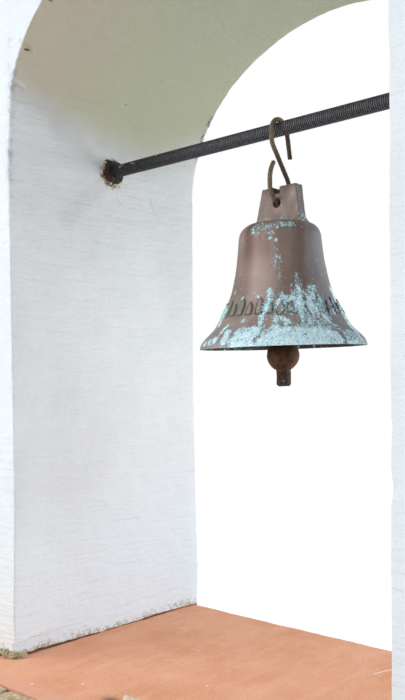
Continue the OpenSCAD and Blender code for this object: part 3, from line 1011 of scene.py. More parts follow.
    def chip_arris(
        self, rings: np.ndarray, front: np.ndarray, rear: np.ndarray, outer: np.ndarray
    ) -> np.ndarray:
        """Bites crumbs out of the arrises.

        Args:
            rings: The loops of the skin.
            front: Front corner at each station.
            rear: Back corner at each station.
            outer: Outer corner at each station.

        Returns:
            The loops with the crumbs bitten out.
        """
        bitten = rings.copy()
        away = outer - front
        away /= np.linalg.norm(away, axis=1, keepdims=True)
        for corner, deep, reach in ((front, 1, 7.0), (rear, -1, 7.0)):
            inward = away + np.array([0.0, deep, 0.0])
            inward /= np.linalg.norm(inward, axis=1, keepdims=True)
            gap = np.linalg.norm(rings - corner[:, None, :], axis=2)
            near = hump(gap, reach)
            crumbs = np.clip(self.grain.at(rings, 9.0, 2) - 0.15, 0, 1)
            flakes = np.clip(self.grain.at(rings, 24.0, 2) - 0.1, 0, 1)
            frail = self.frail(corner) if deep > 0 else self.frail_rear(corner)
            z = corner[:, 2]
            bite = near * (1.6 * crumbs * (1 + 2.0 * frail[:, None]) + 6.0 * flakes * frail[:, None])
            # A nick on the right front arris, at the height of the bell's mouth
            if deep > 0:
                nick = hump(z - 1428, 12) * (corner[:, 0] > 300)
                bite += 3.5 * near * nick[:, None]
            bitten += bite[..., None] * inward[:, None, :]
        return bitten

    def frail(self, points: np.ndarray) -> np.ndarray:
        """Where the left front arris crumbles most: just above and below the springing."""
        x, z = points[..., 0], points[..., 2]
        return between(z, 1880, 1960, 2230, 2170) * (x < -300)

    def frail_rear(self, points: np.ndarray) -> np.ndarray:
        """Where the left rear arris crumbles: by the springing, over the bar."""
        x, z = points[..., 0], points[..., 2]
        return between(z, 2060, 2085, 2165, 2140) * (x < -280)

    def lean_arrises(self, shell: Object) -> None:
        """Pulls the arrises off the plumb line, as hand plastered ones are."""
        points = places(shell)
        x, y, z = points.T
        by_front = hump(y - self.front, 70) * (np.abs(np.abs(x) - self.half_open) < 30)
        shift = np.interp(z, self.arris_z, self.arris_out, left=0.0, right=0.0)
        points[:, 0] += by_front * (x < 0) * shift
        points[:, 0] -= 1.5 * by_front * (x > 0) * ease(self.front_spring, self.front_spring - 150, z)
        by_rear = hump(np.hypot(np.abs(x) - self.half_open, y - self.back), 60)
        bulge = by_rear * np.interp(z, self.rear_z, self.rear_out)
        points[:, 0] -= np.sign(x) * bulge
        points[:, 1] += bulge
        move(shell, points)

    def lip_gap(self, x: np.ndarray, y: np.ndarray) -> np.ndarray:
        """Height of the gap under the plaster's ragged lower edge, on a jamb."""
        spot = points_at(y, x, 0.0)
        known = np.interp(np.where(x < 0, y, 150.0 - y), self.foot_y, self.foot_gap)
        return np.clip(known + 1.1 * self.grain.at(spot, 7.0, 2), 0.0, None)

    def undercut(self, shell: Object) -> None:
        """Lets the plaster stop short of the sill, with a dark gap under its ragged edge."""
        points = places(shell)
        x, y, z = points.T
        on_jamb = (np.abs(np.abs(x) - self.half_open) < 22) & (y > self.front - 3) & (y < self.back + 6)
        over = z - self.sill - self.lip_gap(x, y)
        under = ease(0.6, -0.8, over) * on_jamb
        # The edge itself curls out a little where old coats of wash have built up
        curl = hump(over - 3, 4) * on_jamb
        drip = hump(y - 43, 11) * hump(z - self.sill - 3, 8) * on_jamb
        inner = ease(self.front - 1, self.front + 9, y) * ease(self.back + 1, self.back - 9, y)
        points[:, 0] += np.sign(x) * inner * (3.5 * under - 1.2 * curl - 2.4 * drip)
        on_front = (y < self.front + 8) & (np.abs(x) > self.half_open - 4)
        fringe = 2.4 + 2.0 * self.grain.at(points * np.array([1.0, 0.0, 0.0]), 26.0, 2)
        points[:, 1] += 3.0 * ease(1.0, -1.0, z - self.sill - fringe) * on_front
        move(shell, points)

    def hole_tool(self, side: Side) -> Object:
        """A ragged plug to cut the broken hole round a nut."""
        turn = np.radians(np.arange(0, 360, 4.0))
        spot = points_at(self.hole_r * np.cos(turn), self.hole_r * np.sin(turn), side.value)
        ragged = self.hole_r + 2.2 * self.grain.at(spot, 13.0, 2) + 1.4 * self.grain.at(spot, 5.0)
        rings = []
        for depth, share in ((-6, 1.06), (-1.5, 1.03), (0.5, 1.0), (4, 0.96), (self.hole_depth, 0.92)):
            x = side.value * (self.half_open + depth + 0.6 * self.grain.at(spot * 1.7, 9.0))
            y, z = share * ragged * np.cos(turn), share * ragged * np.sin(turn)
            rings.append(points_at(x, self.bar_y + y, self.bar_z + z))
        return tube("hole_tool", np.stack(rings))

    def stain(self, shell: Object) -> None:
        """Marks where the skin is damp, dirty, speckled or broken, and where light and shade are painted on
        it.
        """
        points = places(shell)
        x, y, z = points.T
        coarse, fine = self.grain.at(points, 60.0, 3), self.grain.at(points, 8.0, 2)
        inside = (np.abs(x) < self.half_open + 14) & (y > self.front + 2) & (y < self.back - 3)
        # How far up the arch a point is, from its springing at 0 to its crown at 1
        deep = (y - self.front) / (self.back - self.front)
        spring = self.front_spring + (self.back_spring - self.front_spring) * deep
        rise = self.front_rise + (self.back_rise - self.front_rise) * deep
        up_arch = (z - spring) / rise
        # Painted shade: the wash greys as it climbs towards the arch and towards the front of the jamb; the
        # damp band higher up is part damp, part painted shade
        by_front = 0.2 * ease(200, -80, y) * between(z, 1180, 1400, 2040, 1880)
        greyed = (0.38 * ease(-1.3, 0.05, up_arch) + by_front) * inside
        edge = np.interp(y, self.damp_y, self.damp_from) + 0.03 * coarse
        paint(shell, damp=greyed + 0.65 * ease(-0.34, 0.22, up_arch - edge) * inside)
        # The shaded damp turns greener towards the back, a painted bounce light
        paint(shell, rear=ease(-120, 100, y + 30 * coarse))
        # Painted light: the wash turns bluer towards the sill, behind the front face
        paint(shell, fresh=ease(1480, 1120, z) * (y > self.front + 2))
        over = z - self.sill - self.lip_gap(x, y)
        jamb = np.abs(np.abs(x) - self.half_open)
        lively = 0.36 + 0.16 * hump(y + 122, 30) + 0.12 * ease(250, 300, y)
        splash = ease(26, 1, over + 5 * coarse) * (jamb < 22) * lively
        hole = np.hypot(y - self.bar_y, z - self.bar_z)
        nut_dirt = 0.5 * hump(hole - self.hole_r, 9) * (jamb < 12) * ease(12, -12, z - self.bar_z)
        paint(shell, dirt=splash + nut_dirt + 0.25 * ease(60, 10, z - self.sill) * (jamb >= 22))
        gap = ease(0.9, -0.4, over) * (jamb < 22) * (y > self.front - 4)
        # The inside of each nut's hole is painted dark, as shade
        deep_in = np.abs(x) - self.half_open
        sunk = (deep_in > 2.0) & (deep_in < 30) & (hole < self.hole_r * 1.2)
        paint(shell, broken=np.clip(gap, 0, 1))
        around = np.hypot(x / self.half_open, np.clip(z - spring, 0, None) / rise)
        by_back = np.hypot(350 * (around - 1), y - self.back)
        flecks = ease(0.0, 0.3, fine) * (by_back < 11) * self.frail_rear(points)
        paint(shell, speck=np.clip(0.9 * sunk + 0.7 * flecks, 0, 1))
        low_left = ease(0.2, 0.8, (0.75 * (self.bar_y - y) + 0.65 * (self.bar_z - z)) / np.maximum(hole, 1))
        halo = hump(np.clip(hole - self.hole_r, 0, None), 6) * (jamb < 12) * low_left
        paint(shell, ochre=np.clip(halo * (0.35 + 0.6 * fine), 0, 0.6))
        arris = np.hypot(jamb, y - self.front)
        frayed = hump(arris, 10) * (0.04 + 0.96 * self.frail(points)) * np.clip(0.75 + fine, 0, 1)
        paint(shell, crumb=frayed + 0.9 * hump(by_back, 12) * self.frail_rear(points))

    def prism(
        self, name: str, outline: Sequence[tuple[float, float]], half: float, round_r: float, step: float
    ) -> Object:
        """A long block with a rounded outline in Y and Z, along X.

        Args:
            name: The object's name.
            outline: Corners as (y, z), in mm.
            half: Half its length, in mm.
            round_r: Where the rounding of each arris begins, in mm.
            step: Width of its faces, in mm.

        Returns:
            The object.
        """
        flat = np.array(outline, float)
        before = flat - np.roll(flat, 1, axis=0)
        after = np.roll(flat, -1, axis=0) - flat
        before /= np.linalg.norm(before, axis=1, keepdims=True)
        after /= np.linalg.norm(after, axis=1, keepdims=True)
        turning = np.sign(np.sum(np.cross(before, after)))
        normals = turning * np.stack([-(before + after)[:, 1], (before + after)[:, 0]], 1)
        inward = normals / np.maximum(1 + np.sum(before * after, axis=1), 0.2)[:, None]
        body = np.arange(-half + round_r, half - round_r + 1e-6, step)
        turn = np.radians(np.arange(0, 91, 22.5))
        ends, tip = round_r * (1 - np.sin(turn)), round_r * (1 - np.cos(turn))
        xs = np.concatenate([-half + tip, body[1:-1], half - tip[::-1]])
        inset = np.concatenate([ends, np.zeros(len(body) - 2), ends[::-1]])
        corners = [
            points_at(xs, spot[0] + inset * way[0], spot[1] + inset * way[1])
            for spot, way in zip(flat, inward)
        ]
        radii = [np.full(len(xs), round_r)] * len(flat)
        lengths = np.linalg.norm(np.roll(flat, -1, axis=0) - flat, axis=1)
        fractions = [np.linspace(0, 1, max(2, int(length / step))) for length in lengths]
        return tube(name, rounded_loop(corners, radii, fractions, 4))

    def base(self) -> Object:
        """The breast wall's plaster, from the ground to the screed's bed."""
        base = self.prism("breast_wall_plaster", [
            (self.base_front, 0.0), (self.back, 0.0), (self.back, self.bed), (self.ledge_back, self.bed),
            (self.ledge_back, self.ledge), (self.base_front, self.ledge),
        ], self.half_wide, 3.0, 13.0)
        roughen(base, self.wave)
        points = places(base)
        z = points[:, 2]
        points[:, 2] = np.maximum(z, 0.0)
        move(base, points)
        coarse = self.grain.at(points, 70.0, 3)
        # The end faces have no inner points, so nothing may be told apart along their rims
        sides = np.abs(points[:, 0]) < self.half_wide - 4
        ledge_dirt = 0.7 * ease(940, 985, z + 12 * coarse) * (points[:, 1] < self.ledge_back + 5)
        paint(base, dirt=ledge_dirt * sides)
        smooth(base, 50.0)
        return base

    def cap(self) -> Object:
        """The weathering cap, with a drip groove under each long edge."""
        low, over = self.top, self.cap_over
        front, back = self.front - over, self.back + over
        mid, edge = (front + back) / 2, low + self.cap_edge
        groove, deep = 4.5, 4.5
        in_front, in_back = front + over / 2, back - over / 2
        cap = self.prism("weather_cap", [
            (front, low), (in_front - groove, low), (in_front, low + deep), (in_front + groove, low),
            (in_back - groove, low), (in_back, low + deep), (in_back + groove, low),
            (back, low), (back, edge), (mid, edge + self.cap_rise), (front, edge),
        ], self.half_wide + over, 2.0, 12.0)
        grain = Grain(23)
        roughen(cap, lambda p: 0.9 * grain.at(p, 60.0, 2) + 0.4 * grain.at(p, 12.0) - 1.2)
        points = places(cap)
        paint(cap, worn=0.6 * ease(0.1, 0.6, grain.at(points, 55.0, 3)))
        # Painted shade: the cap's lower edge is painted darker
        paint(cap, recess=0.5 * ease(low + 8, low, points[:, 2]))
        smooth(cap, 30.0)
        return cap

    def build(self, plaster: Material, screed: Material) -> None:
        """Builds and dresses the wall's three skins."""
        dress(
            self.shell(), Body.WALL, "whitewashed_plaster", plaster, "left_pier", "right_pier",
            "left_springer", "right_springer", "left_haunch", "right_haunch", "arch_crown", "top_course",
        )
        dress(self.base(), Body.WALL, "whitewashed_plaster", plaster, "base_wall")
        dress(self.cap(), Body.WALL, "terracotta_screed", screed, "top_cap")


@dataclass
class Sill:
    """The painted screed, its edging stones and the broken mortar on them."""

    wall: Masonry
    stones: int = 6
    joint: float = 5.0
    step: float = 5.0

    def __post_init__(self) -> None:
        """Keeps the sill's own noise."""
        self.grain = Grain(37)

    def screed(self) -> Object:
        """The screed: a tongue through the opening and a strip in front of the piers."""
        wall = self.wall
        xs = np.linspace(-wall.half_wide, wall.half_wide, int(2 * wall.half_wide / self.step) + 1)
        ys = np.linspace(wall.ledge_back, wall.back, int((wall.back - wall.ledge_back) / self.step) + 1)
        # The grid's nearest lines are pulled onto the jambs and the front of the wall
        for target in (-wall.half_open, wall.half_open):
            xs[np.abs(xs - target).argmin()] = target
        ys[np.abs(ys - wall.front).argmin()] = wall.front
        grid_x, grid_y = np.meshgrid(xs, ys)
        middle_x, middle_y = (grid_x[:-1, :-1] + grid_x[1:, 1:]) / 2, (grid_y[:-1, :-1] + grid_y[1:, 1:]) / 2
        kept = (middle_y < wall.front) | (np.abs(middle_x) < wall.half_open)
        index = np.arange(grid_x.size).reshape(grid_x.shape)
        faces = quads(index)[kept]
        points = points_at(grid_x, grid_y, wall.sill).reshape(-1, 3)
        mesh = bpy.data.meshes.new("sill_screed_top")
        mesh.from_pydata((points * MM).tolist(), [], faces.reshape(-1, 4).tolist())
        shape = bmesh.new()
        shape.from_mesh(mesh)
        bmesh.ops.delete(shape, geom=[v for v in shape.verts if not v.link_faces], context="VERTS")
        rim = [e for e in shape.edges if e.is_boundary]
        for _ in range(3):
            grown = bmesh.ops.extrude_edge_only(shape, edges=rim)["geom"]
            for item in grown:
                if isinstance(item, bmesh.types.BMVert):
                    item.co.z -= (wall.sill - wall.bed) / 3 * MM
            rim = [g for g in grown if isinstance(g, bmesh.types.BMEdge) and g.is_boundary]
        bmesh.ops.contextual_create(shape, geom=rim)
        bmesh.ops.recalc_face_normals(shape, faces=shape.faces)
        shape.to_mesh(mesh)
        shape.free()
        screed = put("painted_screed", mesh)
        self.wear_screed(screed)
        return screed

    def wear_screed(self, screed: Object) -> None:
        """Waves the screed's top, breaks its edges and marks its worn places."""
        wall = self.wall
        points = places(screed)
        x, y, z = points.T.copy()
        on_top = ease(wall.sill - 8, wall.sill, z)
        points[:, 2] += on_top * (0.9 * self.grain.at(points, 90.0, 2) + 0.25 * self.grain.at(points, 14.0))
        # Trowel sweeps: shallow arcs about points at the front
        for at_x, at_y, pitch in ((-620.0, -520.0, 46.0), (180.0, -610.0, 58.0)):
            reach = np.hypot(x - at_x, y - at_y)
            sweep = reach / pitch * 2 * np.pi + 2 * self.grain.at(points, 160.0)
            points[:, 2] += on_top * 0.16 * np.sin(sweep)
        ragged = 1.4 + 1.5 * self.grain.at(points, 18.0, 2) + 1.2 * self.grain.at(points, 60.0)
        fringe = ease(7.0, 0.0, y - wall.ledge_back)
        points[:, 1] += 0.6 * fringe * np.clip(ragged, 0, None)
        points[:, 2] -= fringe * on_top * np.clip(1.1 + 0.9 * self.grain.at(points, 11.0), 0, 3)
        back = ease(7.0, 0.0, wall.back - y)
        points[:, 1] -= back * np.clip(ragged, 0, None) * 0.8
        points[:, 2] -= back * on_top * 1.2
        # A shallow broken place by the mortar lump, painted dark inside as shade
        pit = hump(x + 101, 19) * hump(y + 187, 9)
        points[:, 2] -= 4.0 * pit * on_top
        move(screed, points)
        frayed = 10 * self.grain.at(points, 26.0, 2)
        by_front, by_back = ease(50, 18, y - wall.ledge_back + frayed), ease(14, 0, wall.back - y)
        paint(screed, worn=np.clip(0.55 * by_front + 0.5 * by_back, 0, 1))
        paint(screed, recess=np.clip(1.2 * pit, 0, 0.95))
        smooth(screed, 40.0)

    def stone(self, number: int) -> Object:
        """One coarse edging stone, counted from the left."""
        wall = self.wall
        pitch = 2 * wall.half_wide / self.stones
        low_x = -wall.half_wide + (number - 1) * pitch + (self.joint / 2 if number > 1 else 0)
        high_x = -wall.half_wide + number * pitch - (self.joint / 2 if number < self.stones else 0)
        low = np.array([low_x, wall.base_front, wall.ledge])
        high = np.array([high_x, wall.ledge_back, wall.sill])
        shape = bmesh.new()
        bmesh.ops.create_cube(shape, size=1.0)
        stone = put_shape(f"edging_stone_{number}", shape)
        move(stone, (places(stone) * MM) * (high - low) + (low + high) / 2)
        fuse(stone, 3.6, 6)
        grain = Grain(50 + number)

        def lift(points: np.ndarray) -> np.ndarray:
            """How far the broken face of a stone stands out, in mm."""
            chunky = 2.2 * grain.at(points, 34.0, 2)
            coarse = 1.5 * grain.at(points, 9.0, 2)
            return chunky + coarse - 2.4

        roughen(stone, lift)
        points = places(stone)
        # The top was struck off level with the screed
        level = wall.sill - 2.0
        high = points[:, 2] > level - 4
        points[high, 2] = level + 0.45 * (points[high, 2] - level)
        points[:, 2] = np.maximum(points[:, 2], wall.ledge)
        move(stone, points)
        smooth(stone, 60.0)
        return stone

    def mortar(self) -> Object:
        """Broken mortar at the foot of the left pier's front corner."""
        grain = Grain(71)
        parts = [
            lump((-408.0, -179.0, 1056.0), (12.0, 7.0, 8.0), grain),
            lump((-393.0, -172.0, 1057.0), (9.0, 8.0, 9.0), grain),
            lump((-384.0, -159.0, 1053.0), (6.0, 11.0, 6.5), grain),
            lump((-428.0, -178.0, 1055.0), (13.0, 6.0, 7.0), grain),
        ]
        mortar = join("corner_mortar", parts)
        fuse(mortar, 1.2, 2)
        roughen(mortar, lambda p: 1.6 * grain.at(p, 6.0, 3) - 0.4)
        smooth(mortar, 60.0)
        return mortar

    def broken_lump(self) -> Object:
        """A whitish broken lump of mortar on the sill's front strip."""
        grain = Grain(83)
        parts = [
            lump((-66.0, -179.0, 1053.0), (19.0, 13.0, 9.5), grain),
            lump((-47.0, -190.0, 1051.0), (16.0, 11.0, 7.0), grain),
        ]
        broken = join("broken_mortar_lump", parts)
        fuse(broken, 1.2, 2)
        roughen(broken, lambda p: 0.7 * grain.at(p, 5.0, 2))
        smooth(broken, 60.0)
        return broken

    def build(self, screed: Material, stone: Material, mortar: Material,
              pale: Material) -> None:
        """Builds and dresses the sill."""
        dress(self.screed(), Body.WALL, "terracotta_screed", screed, "sill_screed")
        for number in range(1, self.stones + 1):
            dress(self.stone(number), Body.WALL, "sandy_stone", stone, f"kerb_stone_{number}")
        dress(self.mortar(), Body.WALL, "sandy_stone", mortar)
        dress(self.broken_lump(), Body.WALL, "sandy_stone", pale)


@dataclass
class CrossBar:
    """The ribbed bar with the nuts sunk in the jambs."""

    wall: Masonry
    bar_r: float = 12.5
    embed: float = 150.0
    rib_pitch: float = 3.8
    rib_depth: float = 0.9
    nut_r: float = 25.0
    nut_t: float = 22.0
    nut_recess: float = 7.0

    def fade(self, x: np.ndarray) -> np.ndarray:
        """Share of their height that the ribs have left at x, less towards the rubbed left end."""
        return 0.6 + 0.4 * ease(-250, -120, x)

    def ribs(self, x: np.ndarray) -> np.ndarray:
        """How much of a rib's height the bar has at x."""
        return self.fade(x) * (0.5 + 0.5 * np.cos(2 * np.pi * x / self.rib_pitch))

    def bar(self) -> Object:
        """The bar, turned ring by ring."""
        wall = self.wall
        clear = np.arange(-wall.half_open, wall.half_open + 0.1, self.rib_pitch / 6)
        ends = np.linspace(wall.half_open + 4, wall.half_open + self.embed, 6)
        xs = np.concatenate([-ends[::-1], clear, ends])
        turn = np.radians(np.arange(0, 360, 11.25))
        grain = Grain(97)
        cos, sin = np.cos(turn), np.sin(turn)
        spot = points_at(xs[:, None], self.bar_r * cos, self.bar_r * sin)
        radius = self.bar_r - (self.rib_depth * (self.fade(xs) - self.ribs(xs)))[:, None]
        radius = radius - 0.12 * np.abs(grain.at(spot, 7.0, 2))
        rings = points_at(xs[:, None], wall.bar_y + radius * cos, wall.bar_z + radius * sin)
        bar = tube("ribbed_bar", rings)
        around = places(bar)
        x = around[:, 0]
        # The crests are painted lighter, as wear and as painted glints
        paint(bar, crest=np.clip(self.ribs(x) + 0.12 * ease(-150, -260, x), 0, 1))
        chips = np.zeros(len(x))
        for at_x, high, wide in (
            (-352, 4, 2.4), (-346, 7, 1.8), (-318, 6, 2.2), (-311, 3, 1.6), (-250, 8, 1.6),
        ):
            gap = np.hypot(x - at_x, (around[:, 2] - wall.bar_z - high) * 1.2)
            chips += hump(gap, wide) * (around[:, 1] < wall.bar_y)
        paint(bar, chip=np.clip(chips, 0, 1))
        smooth(bar, 60.0)
        return bar

    def nut(self, side: Side) -> Object:
        """A chamfered and pitted hexagonal nut, standing on one corner."""
        wall = self.wall
        rings = []
        flat_r = self.nut_r * math.cos(math.pi / 6)
        turn = np.radians(np.arange(0, 360, 7.5))
        # Radius of a hexagon that stands on its corner
        hexagon = flat_r / np.cos((turn - np.pi / 2 + np.pi / 6) % (np.pi / 3) - np.pi / 6)
        outer = side.value * (wall.half_open + self.nut_recess)
        # Share of the thickness, and the circle that trims the corners there
        for share, trim in (
            (0.0, 21.0), (0.0, 22.6), (0.1, 30.0), (0.5, 30.0), (0.9, 30.0), (1.0, 22.6), (1.0, 21.0),
        ):
            radius = np.minimum(hexagon, trim)
            y, z = wall.bar_y + radius * np.cos(turn), wall.bar_z + radius * np.sin(turn)
            rings.append(points_at(outer - side.value * self.nut_t * share, y, z))
        nut = tube(f"{side.name.lower()}_hex_nut", np.stack(rings))
        fuse(nut, 0.9, 3)
        grain = Grain(101 + side.value)
        roughen(nut, lambda p: 1.0 * grain.at(p, 7.0, 3) - 0.5)
        points = places(nut)
        depth = np.abs(points[:, 0]) - wall.half_open
        rear = ease(10, -30, points[:, 1] - wall.bar_y) * ease(-12, 2, depth)
        paint(nut, rust=np.clip(0.5 * rear + 0.3 * ease(-2, -20, points[:, 2] - wall.bar_z), 0, 1))
        paint(nut, wear=0.85 * ease(-6, -14, depth))
        smooth(nut, 50.0)
        return nut

    def crumbs(self, side: Side) -> Object:
        """Crumbs of plaster and rust lying in the lower edge of a nut's hole."""
        wall = self.wall
        grain = Grain(131)
        draw = np.random.default_rng(137)
        parts = []
        for angle in np.linspace(120, 312, 24) + draw.uniform(-4, 4, 24):
            turn = math.radians(angle)
            reach = self.nut_r + draw.uniform(-3.0, 3.5)
            size = draw.uniform(1.5, 3.6, 3)
            x = side.value * (wall.half_open + draw.uniform(-2.0, 1.0))
            y, z = wall.bar_y + reach * math.cos(turn), wall.bar_z + reach * math.sin(turn)
            parts.append(lump((x, y, z), size, grain, fineness=3))
        crumbs = join(f"{side.name.lower()}_nut_crumbs", parts)
        points = places(crumbs)
        paint(crumbs, rust=0.6 * ease(0.1, 0.7, grain.at(points, 9.0)))
        paint(crumbs, wear=np.zeros(len(points)))
        smooth(crumbs, 60.0)
        return crumbs

    def build(self, steel: Material, nut: Material, crumb: Material) -> None:
        """Builds and dresses the bar, its nuts and their crumbs."""
        dress(self.bar(), Body.WALL, "blackened_steel", steel, "crossbar")
        for side in Side:
            dress(self.nut(side), Body.WALL, "rusty_nut", nut, f"{side.name.lower()}_nut")
            dress(self.crumbs(side), Body.WALL, "whitewashed_plaster", crumb)


@dataclass
class Hook:
    """The S hook of rusty rod, from its tail behind the bar to the curl before the lug."""

    rod_r: float = 4.0
    x: float = 41.0
    y: float = 75.0
    low_z: float = 1895.82
    span: float = 93.48
    top_r: float = 22.5
    low_r: float = 28.0
    tail: float = 44.5
    tail_lean: float = 9.0
    neck: float = 12.0
    ease_r: float = 24.0
    rise: float = 8.0
    curl_r: float = 51.0
    curl: float = 42.0
    step: float = 1.3

    def centre_line(self) -> np.ndarray:
        """Points down the middle of the rod as (y, z) from the middle of the low bend."""
        lean = math.atan(self.tail_lean / self.tail)
        ease_y, ease_z = self.ease_r - self.top_r, self.span - self.neck
        reach = math.hypot(ease_y, ease_z)
        shank = math.asin((self.ease_r + self.low_r) / reach) - math.atan2(ease_y, ease_z)

        def bend(y: float, z: float, r: float, start: float, end: float) -> np.ndarray:
            """Points round a bend, from one angle to another, in radians."""
            steps = max(3, int(abs(end - start) * r / 1.4))
            return arc((y, z), r, np.linspace(start, end, steps))

        start = np.array([self.top_r * math.cos(lean), self.span + self.top_r * math.sin(lean)])
        tail = start + np.outer(np.linspace(1, 0, 30), [self.tail_lean, -self.tail])
        parts = [
            tail[:-1], bend(0, self.span, self.top_r, lean, math.pi),
            bend(ease_y, ease_z, self.ease_r, math.pi, math.pi + shank),
            bend(0, 0, self.low_r, shank, -math.pi)[1:],
            bend(
                self.curl_r - self.low_r, self.rise, self.curl_r, math.pi,
                math.pi - math.radians(self.curl)),
        ]
        line = np.vstack(parts)
        # Even steps, so that the rings stay square
        gone = np.concatenate([[0], np.cumsum(np.linalg.norm(np.diff(line, axis=0), axis=1))])
        kept = np.concatenate([[True], np.diff(gone) > 1e-6])
        even = np.arange(0, gone[-1], self.step)
        return np.stack([np.interp(even, gone[kept], line[kept, i]) for i in (0, 1)], 1)

    def rod(self) -> Object:
        """The rod, swept along its centre line with worn and rusted skin."""
        line = self.centre_line()
        way = np.gradient(line, axis=0)
        way /= np.linalg.norm(way, axis=1, keepdims=True)
        turn = np.radians(np.arange(0, 360, 18.0))
        grain = Grain(151)
        gone = np.arange(len(line)) * self.step
        left = gone[-1] - gone
        radius = self.rod_r * np.sqrt(np.clip(1 - np.clip(1 - left / self.rod_r, 0, 1) ** 2, 0.03, 1))
        radius *= 0.86 + 0.14 * ease(0, 1.6, gone)
        side = np.stack([-way[:, 1], way[:, 0]], 1)
        across = radius[:, None] * np.cos(turn)
        deep = radius[:, None] * np.sin(turn)
        rings = points_at(
            self.x + across, self.y + line[:, :1] + deep * side[:, :1],
            self.low_z + line[:, 1:] + deep * side[:, 1:])
        rod = tube("s_hook_rod", rings)
        roughen(rod, lambda p: 0.22 * grain.at(p, 3.5, 2) + 0.2 * grain.at(p, 14.0))
        points = places(rod)
        z, y = points[:, 2] - self.low_z, points[:, 1] - self.y
        tail = ease(8, 22, y) * ease(30, 60, z)
        front = ease(-10, -26, y) * ease(60, 20, z)
        paint(rod, rust=np.clip(0.2 * tail + 0.1 * front, 0, 1))
        shank = ease(84, 52, z) * ease(-20, -4, y)
        paint(rod, wear=np.clip(0.75 * shank + 0.6 * tail, 0, 0.8))
        smooth(rod, 60.0)
        return rod

    def build(self, iron: Material) -> None:
        """Builds and dresses the hook."""
        dress(self.rod(), Body.HOOK, "rusty_rod", iron, "s_hook")


@dataclass(frozen=True)
class Bloom:
    """One run or patch of verdigris: (degrees, height in mm) from its top down, and its half width."""

    path: tuple[tuple[float, float], ...]
    width: float
    strength: float = 1.0


